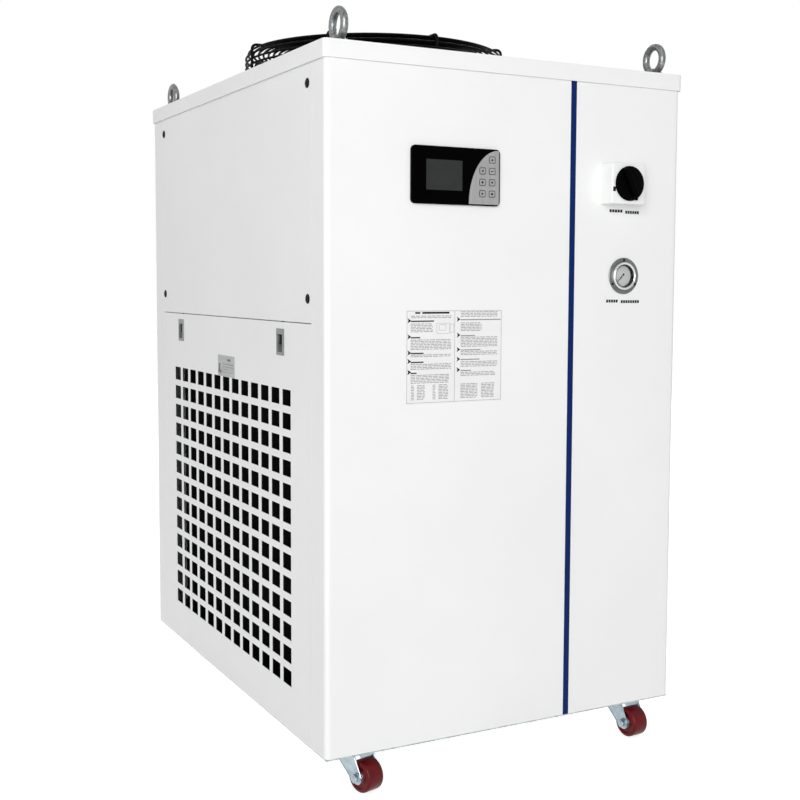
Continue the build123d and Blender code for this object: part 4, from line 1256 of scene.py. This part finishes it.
class CHILLER_OT_power_switch(bpy.types.Operator):
    """Switch body with rounded edges, and its round knob"""

    bl_idname = "chiller.power_switch"
    bl_label = "Power switch"

    def execute(self, context):
        low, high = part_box("switch_base")
        x, z = (low.x + high.x) / 2 / MM, (low.z + high.z) / 2 / MM
        half = (high.x - low.x) / 2 / MM
        depth = FRONT_FACE - low.y / MM
        place = facing("front", x, FRONT_FACE, z)
        bm = bmesh.new()
        prism(bm, rounded_outline(2 * half, 2 * half, 3.0, 7), 0.0, depth, place, bevel=1.6)
        block_back = FRONT_FACE - high.y / MM
        slab(bm, (-22.0, -22.0, block_back), (22.0, 22.0, 0.5), bevel=1.0, place=place)
        mark = place @ Matrix.Translation((-28.9, -9.6, 0))
        prism(bm, rounded_outline(5.4, 7.4, 0.8), depth - 0.3, depth + 0.15, mark, material=1)
        piece = make_piece(
            bm, "switch_body", "cabinet", ["white_moulded_abs", "screen_print_ink"]
        )
        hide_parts("switch_base")

        knob_low, knob_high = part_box("switch_knob")
        back = FRONT_FACE - (low.y / MM - 0.3)
        tip = FRONT_FACE - knob_low.y / MM
        turned = place @ Matrix.Rotation(math.radians(-61.0), 4, "Z")
        knob = bmesh.new()
        revolve(knob, [
            (AXIS, back), (26.8, back), (27.7, back + 0.5), (28.0, back + 1.2), (28.0, back + 2.6),
            (27.5, back + 3.5), (26.6, back + 4.0), (AXIS, back + 4.0),
        ], place, segments=96)
        pin(knob, 6.0, back - 12.0, back + 0.5, place)
        prism(knob, rounded_outline(50.0, 12.0, 5.9, 8), back + 3.0, tip, turned, bevel=1.2)
        nub = [(26.0, -3.0), (29.6, -2.0), (30.4, 0.0), (29.6, 2.0), (26.0, 3.0)]
        prism(knob, nub, back + 0.3, back + 3.6, turned)
        piece = make_piece(knob, "rotary_knob", "knob", ["black_phenolic"])
        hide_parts("switch_knob")
        return {"FINISHED"}


class CHILLER_OT_castors(bpy.types.Operator):
    """Pressed forks, moulded wheels and axle bolts of the four castors"""

    bl_idname = "chiller.castors"
    bl_label = "Castors"

    trail, axle_height = 33.0, 25.0

    def execute(self, context):
        bolts = bmesh.new()
        # Profile of the bolt heads that hang under the castor plates
        bolt_head = [(AXIS, 58.7), (2.8, 58.8), (3.9, 59.8), (4.0, 61.2), (AXIS, 61.2)]
        for place, (x, y, yaw) in CASTORS.items():
            here = Matrix.Translation((x, y, 0)) @ Matrix.Rotation(math.radians(yaw), 4, "Z")
            fork = bmesh.new()
            self.fork(fork, here)
            piece = make_piece(
                fork, "pressed_fork_" + place, "fork_" + place, ["blue_zinc_plate"]
            )
            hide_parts("castor_fork_" + place)
            wheel = bmesh.new()
            self.wheel(wheel, here)
            piece = make_piece(
                wheel, "moulded_wheel_" + place, "wheel_" + place,
                ["red_cast_polyurethane", "blue_zinc_plate"],
            )
            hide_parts("castor_wheel_" + place)
            for across, along in ((-31.0, -25.0), (-31.0, 25.0), (31.0, -25.0), (31.0, 25.0)):
                foot = Matrix.Translation((x + across, y + along, 0))
                revolve(bolts, bolt_head, foot, segments=20)
        make_piece(bolts, "plate_bolts", "cabinet", ["blue_zinc_plate"])
        return {"FINISHED"}

    def fork(self, bm, here):
        """Adds one fork: two tapering legs, the crown, the kingpin and the axle with its nuts."""
        inside, sheet, crown_top, crown_under = 17.0, 2.5, 60.5, 58.0
        axle = (-self.trail, self.axle_height)
        axle_line = here @ Matrix.Translation((0, axle[0], axle[1]))
        boss = 11.0
        leg = [(-26.0, crown_top - 0.6), (24.0, crown_top - 0.6), (23.6, crown_under - 2.0)]
        for a in range(-38, -200, -18):
            angle = math.radians(a)
            leg.append((axle[0] + boss * math.cos(angle), axle[1] + boss * math.sin(angle)))
        leg.append((-27.6, crown_under - 3.0))
        for side in (-1, 1):
            wall = here @ Matrix.Translation((side * (inside + sheet / 2), 0, 0)) @ Matrix((
                (0, 0, 1, 0), (1, 0, 0, 0), (0, 1, 0, 0), (0, 0, 0, 1)
            ))
            prism(bm, leg, -sheet / 2, sheet / 2, wall)
            # The lip that stiffens the leg's two long edges
            for start, end in (((23.6, 56.0), (-22.6, 19.0)), ((-27.6, 55.0), (-44.0, 27.0))):
                lip = side * (inside + sheet - 0.2)
                sweep(bm, [here @ Vector((lip, y, z)) for y, z in (start, end)], 1.0, sides=8)
            outward = axle_line @ Matrix.Rotation(side * math.pi / 2, 4, "Y")
            washer = [(AXIS, 19.4), (8.2, 19.4), (8.2, 20.6), (7.6, 20.9), (AXIS, 20.9)]
            revolve(bm, washer, outward, segments=32)
            prism(bm, circle_points(7.2, 6), 20.8, 26.2, outward, bevel=0.7)
            bolt_end = [(AXIS, 26.0), (3.9, 26.0), (3.6, 27.0), (AXIS, 27.0)]
            revolve(bm, bolt_end, outward, segments=20)
        pin(bm, 3.9, -19.6, 19.6, axle_line @ Matrix.Rotation(math.pi / 2, 4, "Y"), segments=24)
        slab(bm, (-19.5, -26.0, crown_under), (19.5, 24.0, crown_top), bevel=1.2, place=here)
        ball_race = [(AXIS, 54.6), (6.4, 54.6), (8.4, 55.6), (8.6, 58.2), (AXIS, 58.2)]
        revolve(bm, ball_race, here, segments=32)
        pin(bm, 6.0, 60.0, 63.7, here)

    def wheel(self, bm, here):
        """Adds one wheel: a tyre with rounded shoulders on a hub with its bearing ring."""
        radius, half = self.axle_height, 15.5
        across = here @ Matrix.Translation((0, -self.trail, self.axle_height)) @ Matrix.Rotation(
            math.pi / 2, 4, "Y"
        )
        tyre = [(4.2, -half + 2.0), (17.5, -half + 2.0), (18.6, -half + 0.3), (19.6, -half)]
        shoulder = 4.2
        for step in range(6):
            angle = step / 5 * math.pi / 2
            tyre.append((
                radius - shoulder + shoulder * math.sin(angle),
                -half + shoulder - shoulder * math.cos(angle),
            ))
        tyre += [(r, -h) for r, h in reversed(tyre)]
        revolve(bm, tyre, across, segments=72, closed=True)
        for side in (-1, 1):
            profile = (
                (4.2, half - 2.2), (10.4, half - 2.2), (10.4, half + 0.2), (9.6, half + 0.8),
                (4.2, half + 0.8),
            )
            hub = [(r, side * h) for r, h in profile]
            revolve(bm, hub, across, segments=48, closed=True, material=1)


class CHILLER_OT_condenser(bpy.types.Operator):
    """Finned condenser behind the intake slots"""

    bl_idname = "chiller.condenser"
    bl_label = "Condenser"

    def execute(self, context):
        pitch = context.scene.chiller_sizes.fin_pitch / MM
        low, high = (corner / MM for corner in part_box("condenser"))
        bm = bmesh.new()
        edge, recess = 14.0, 6.0
        slab(bm, (low.x, low.y, low.z), (high.x, low.y + edge, high.z), bevel=0.8)
        slab(bm, (low.x, high.y - edge, low.z), (high.x, high.y, high.z), bevel=0.8)
        slab(bm, (low.x, low.y + edge, low.z), (high.x, high.y - edge, low.z + edge), bevel=0.8)
        slab(bm, (low.x, low.y + edge, high.z - edge), (high.x, high.y - edge, high.z), bevel=0.8)
        y = low.y + edge + pitch / 2
        while y < high.y - edge:
            slab(
                bm, (low.x + recess, y - 0.35, low.z + edge - 1),
                (high.x - 2, y + 0.35, high.z - edge + 1),
            )
            y += pitch
        # Tubes that pass through the fins, one row near each face
        z = low.z + edge + 12.0
        while z < high.z - edge:
            for x in (low.x + recess + 12.0, high.x - 16.0):
                sweep(bm, [(x, low.y + 1.0, z), (x, high.y - 1.0, z)], 4.7, sides=12)
            z += 25.4
        # Dark plate behind the fins: painted shade that stands in for the dark inside of the
        # cabinet and keeps the pack from being seen through
        slab(
            bm, (high.x - 30, low.y + edge - 1, low.z + edge - 1),
            (high.x - 26, high.y - edge + 1, high.z - edge + 1),
        )
        piece = make_piece(
            bm, "finned_condenser", "cabinet", ["epoxy_coated_fins"]
        )
        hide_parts("condenser")
        return {"FINISHED"}


STEPS = (
    CHILLER_OT_stage,
    CHILLER_OT_frame_finishes,
    CHILLER_OT_fan_guard,
    CHILLER_OT_fan_rotor,
    CHILLER_OT_eye_bolts,
    CHILLER_OT_panel_screws,
    CHILLER_OT_front_label,
    CHILLER_OT_captions,
    CHILLER_OT_controller_marks,
    CHILLER_OT_pressure_gauge,
    CHILLER_OT_power_switch,
    CHILLER_OT_castors,
    CHILLER_OT_condenser,
)


class CHILLER_PT_panel(bpy.types.Panel):
    """Sidebar panel with the chiller's colours, sizes and steps"""

    bl_idname = "CHILLER_PT_panel"
    bl_label = "Recirculating chiller"
    bl_space_type = "VIEW_3D"
    bl_region_type = "UI"
    bl_category = "Chiller"

    def draw(self, context):
        scene = context.scene
        for group in (scene.chiller_colours, scene.chiller_sizes):
            for name in group.__annotations__:
                self.layout.prop(group, name)
        for step in STEPS:
            self.layout.operator(step.bl_idname)


CLASSES = (ChillerColours, ChillerSizes) + STEPS + (CHILLER_PT_panel,)


def register():
    for item in CLASSES:
        bpy.utils.register_class(item)
    bpy.types.Scene.chiller_colours = bpy.props.PointerProperty(type=ChillerColours)
    bpy.types.Scene.chiller_sizes = bpy.props.PointerProperty(type=ChillerSizes)


def unregister():
    del bpy.types.Scene.chiller_sizes
    del bpy.types.Scene.chiller_colours
    for item in reversed(CLASSES):
        bpy.utils.unregister_class(item)


def main():
    """Dresses the frame piece by piece."""
    register()
    for step in STEPS:
        group, name = step.bl_idname.split(".")
        getattr(getattr(bpy.ops, group), name)()


if __name__ == "__main__":
    main()
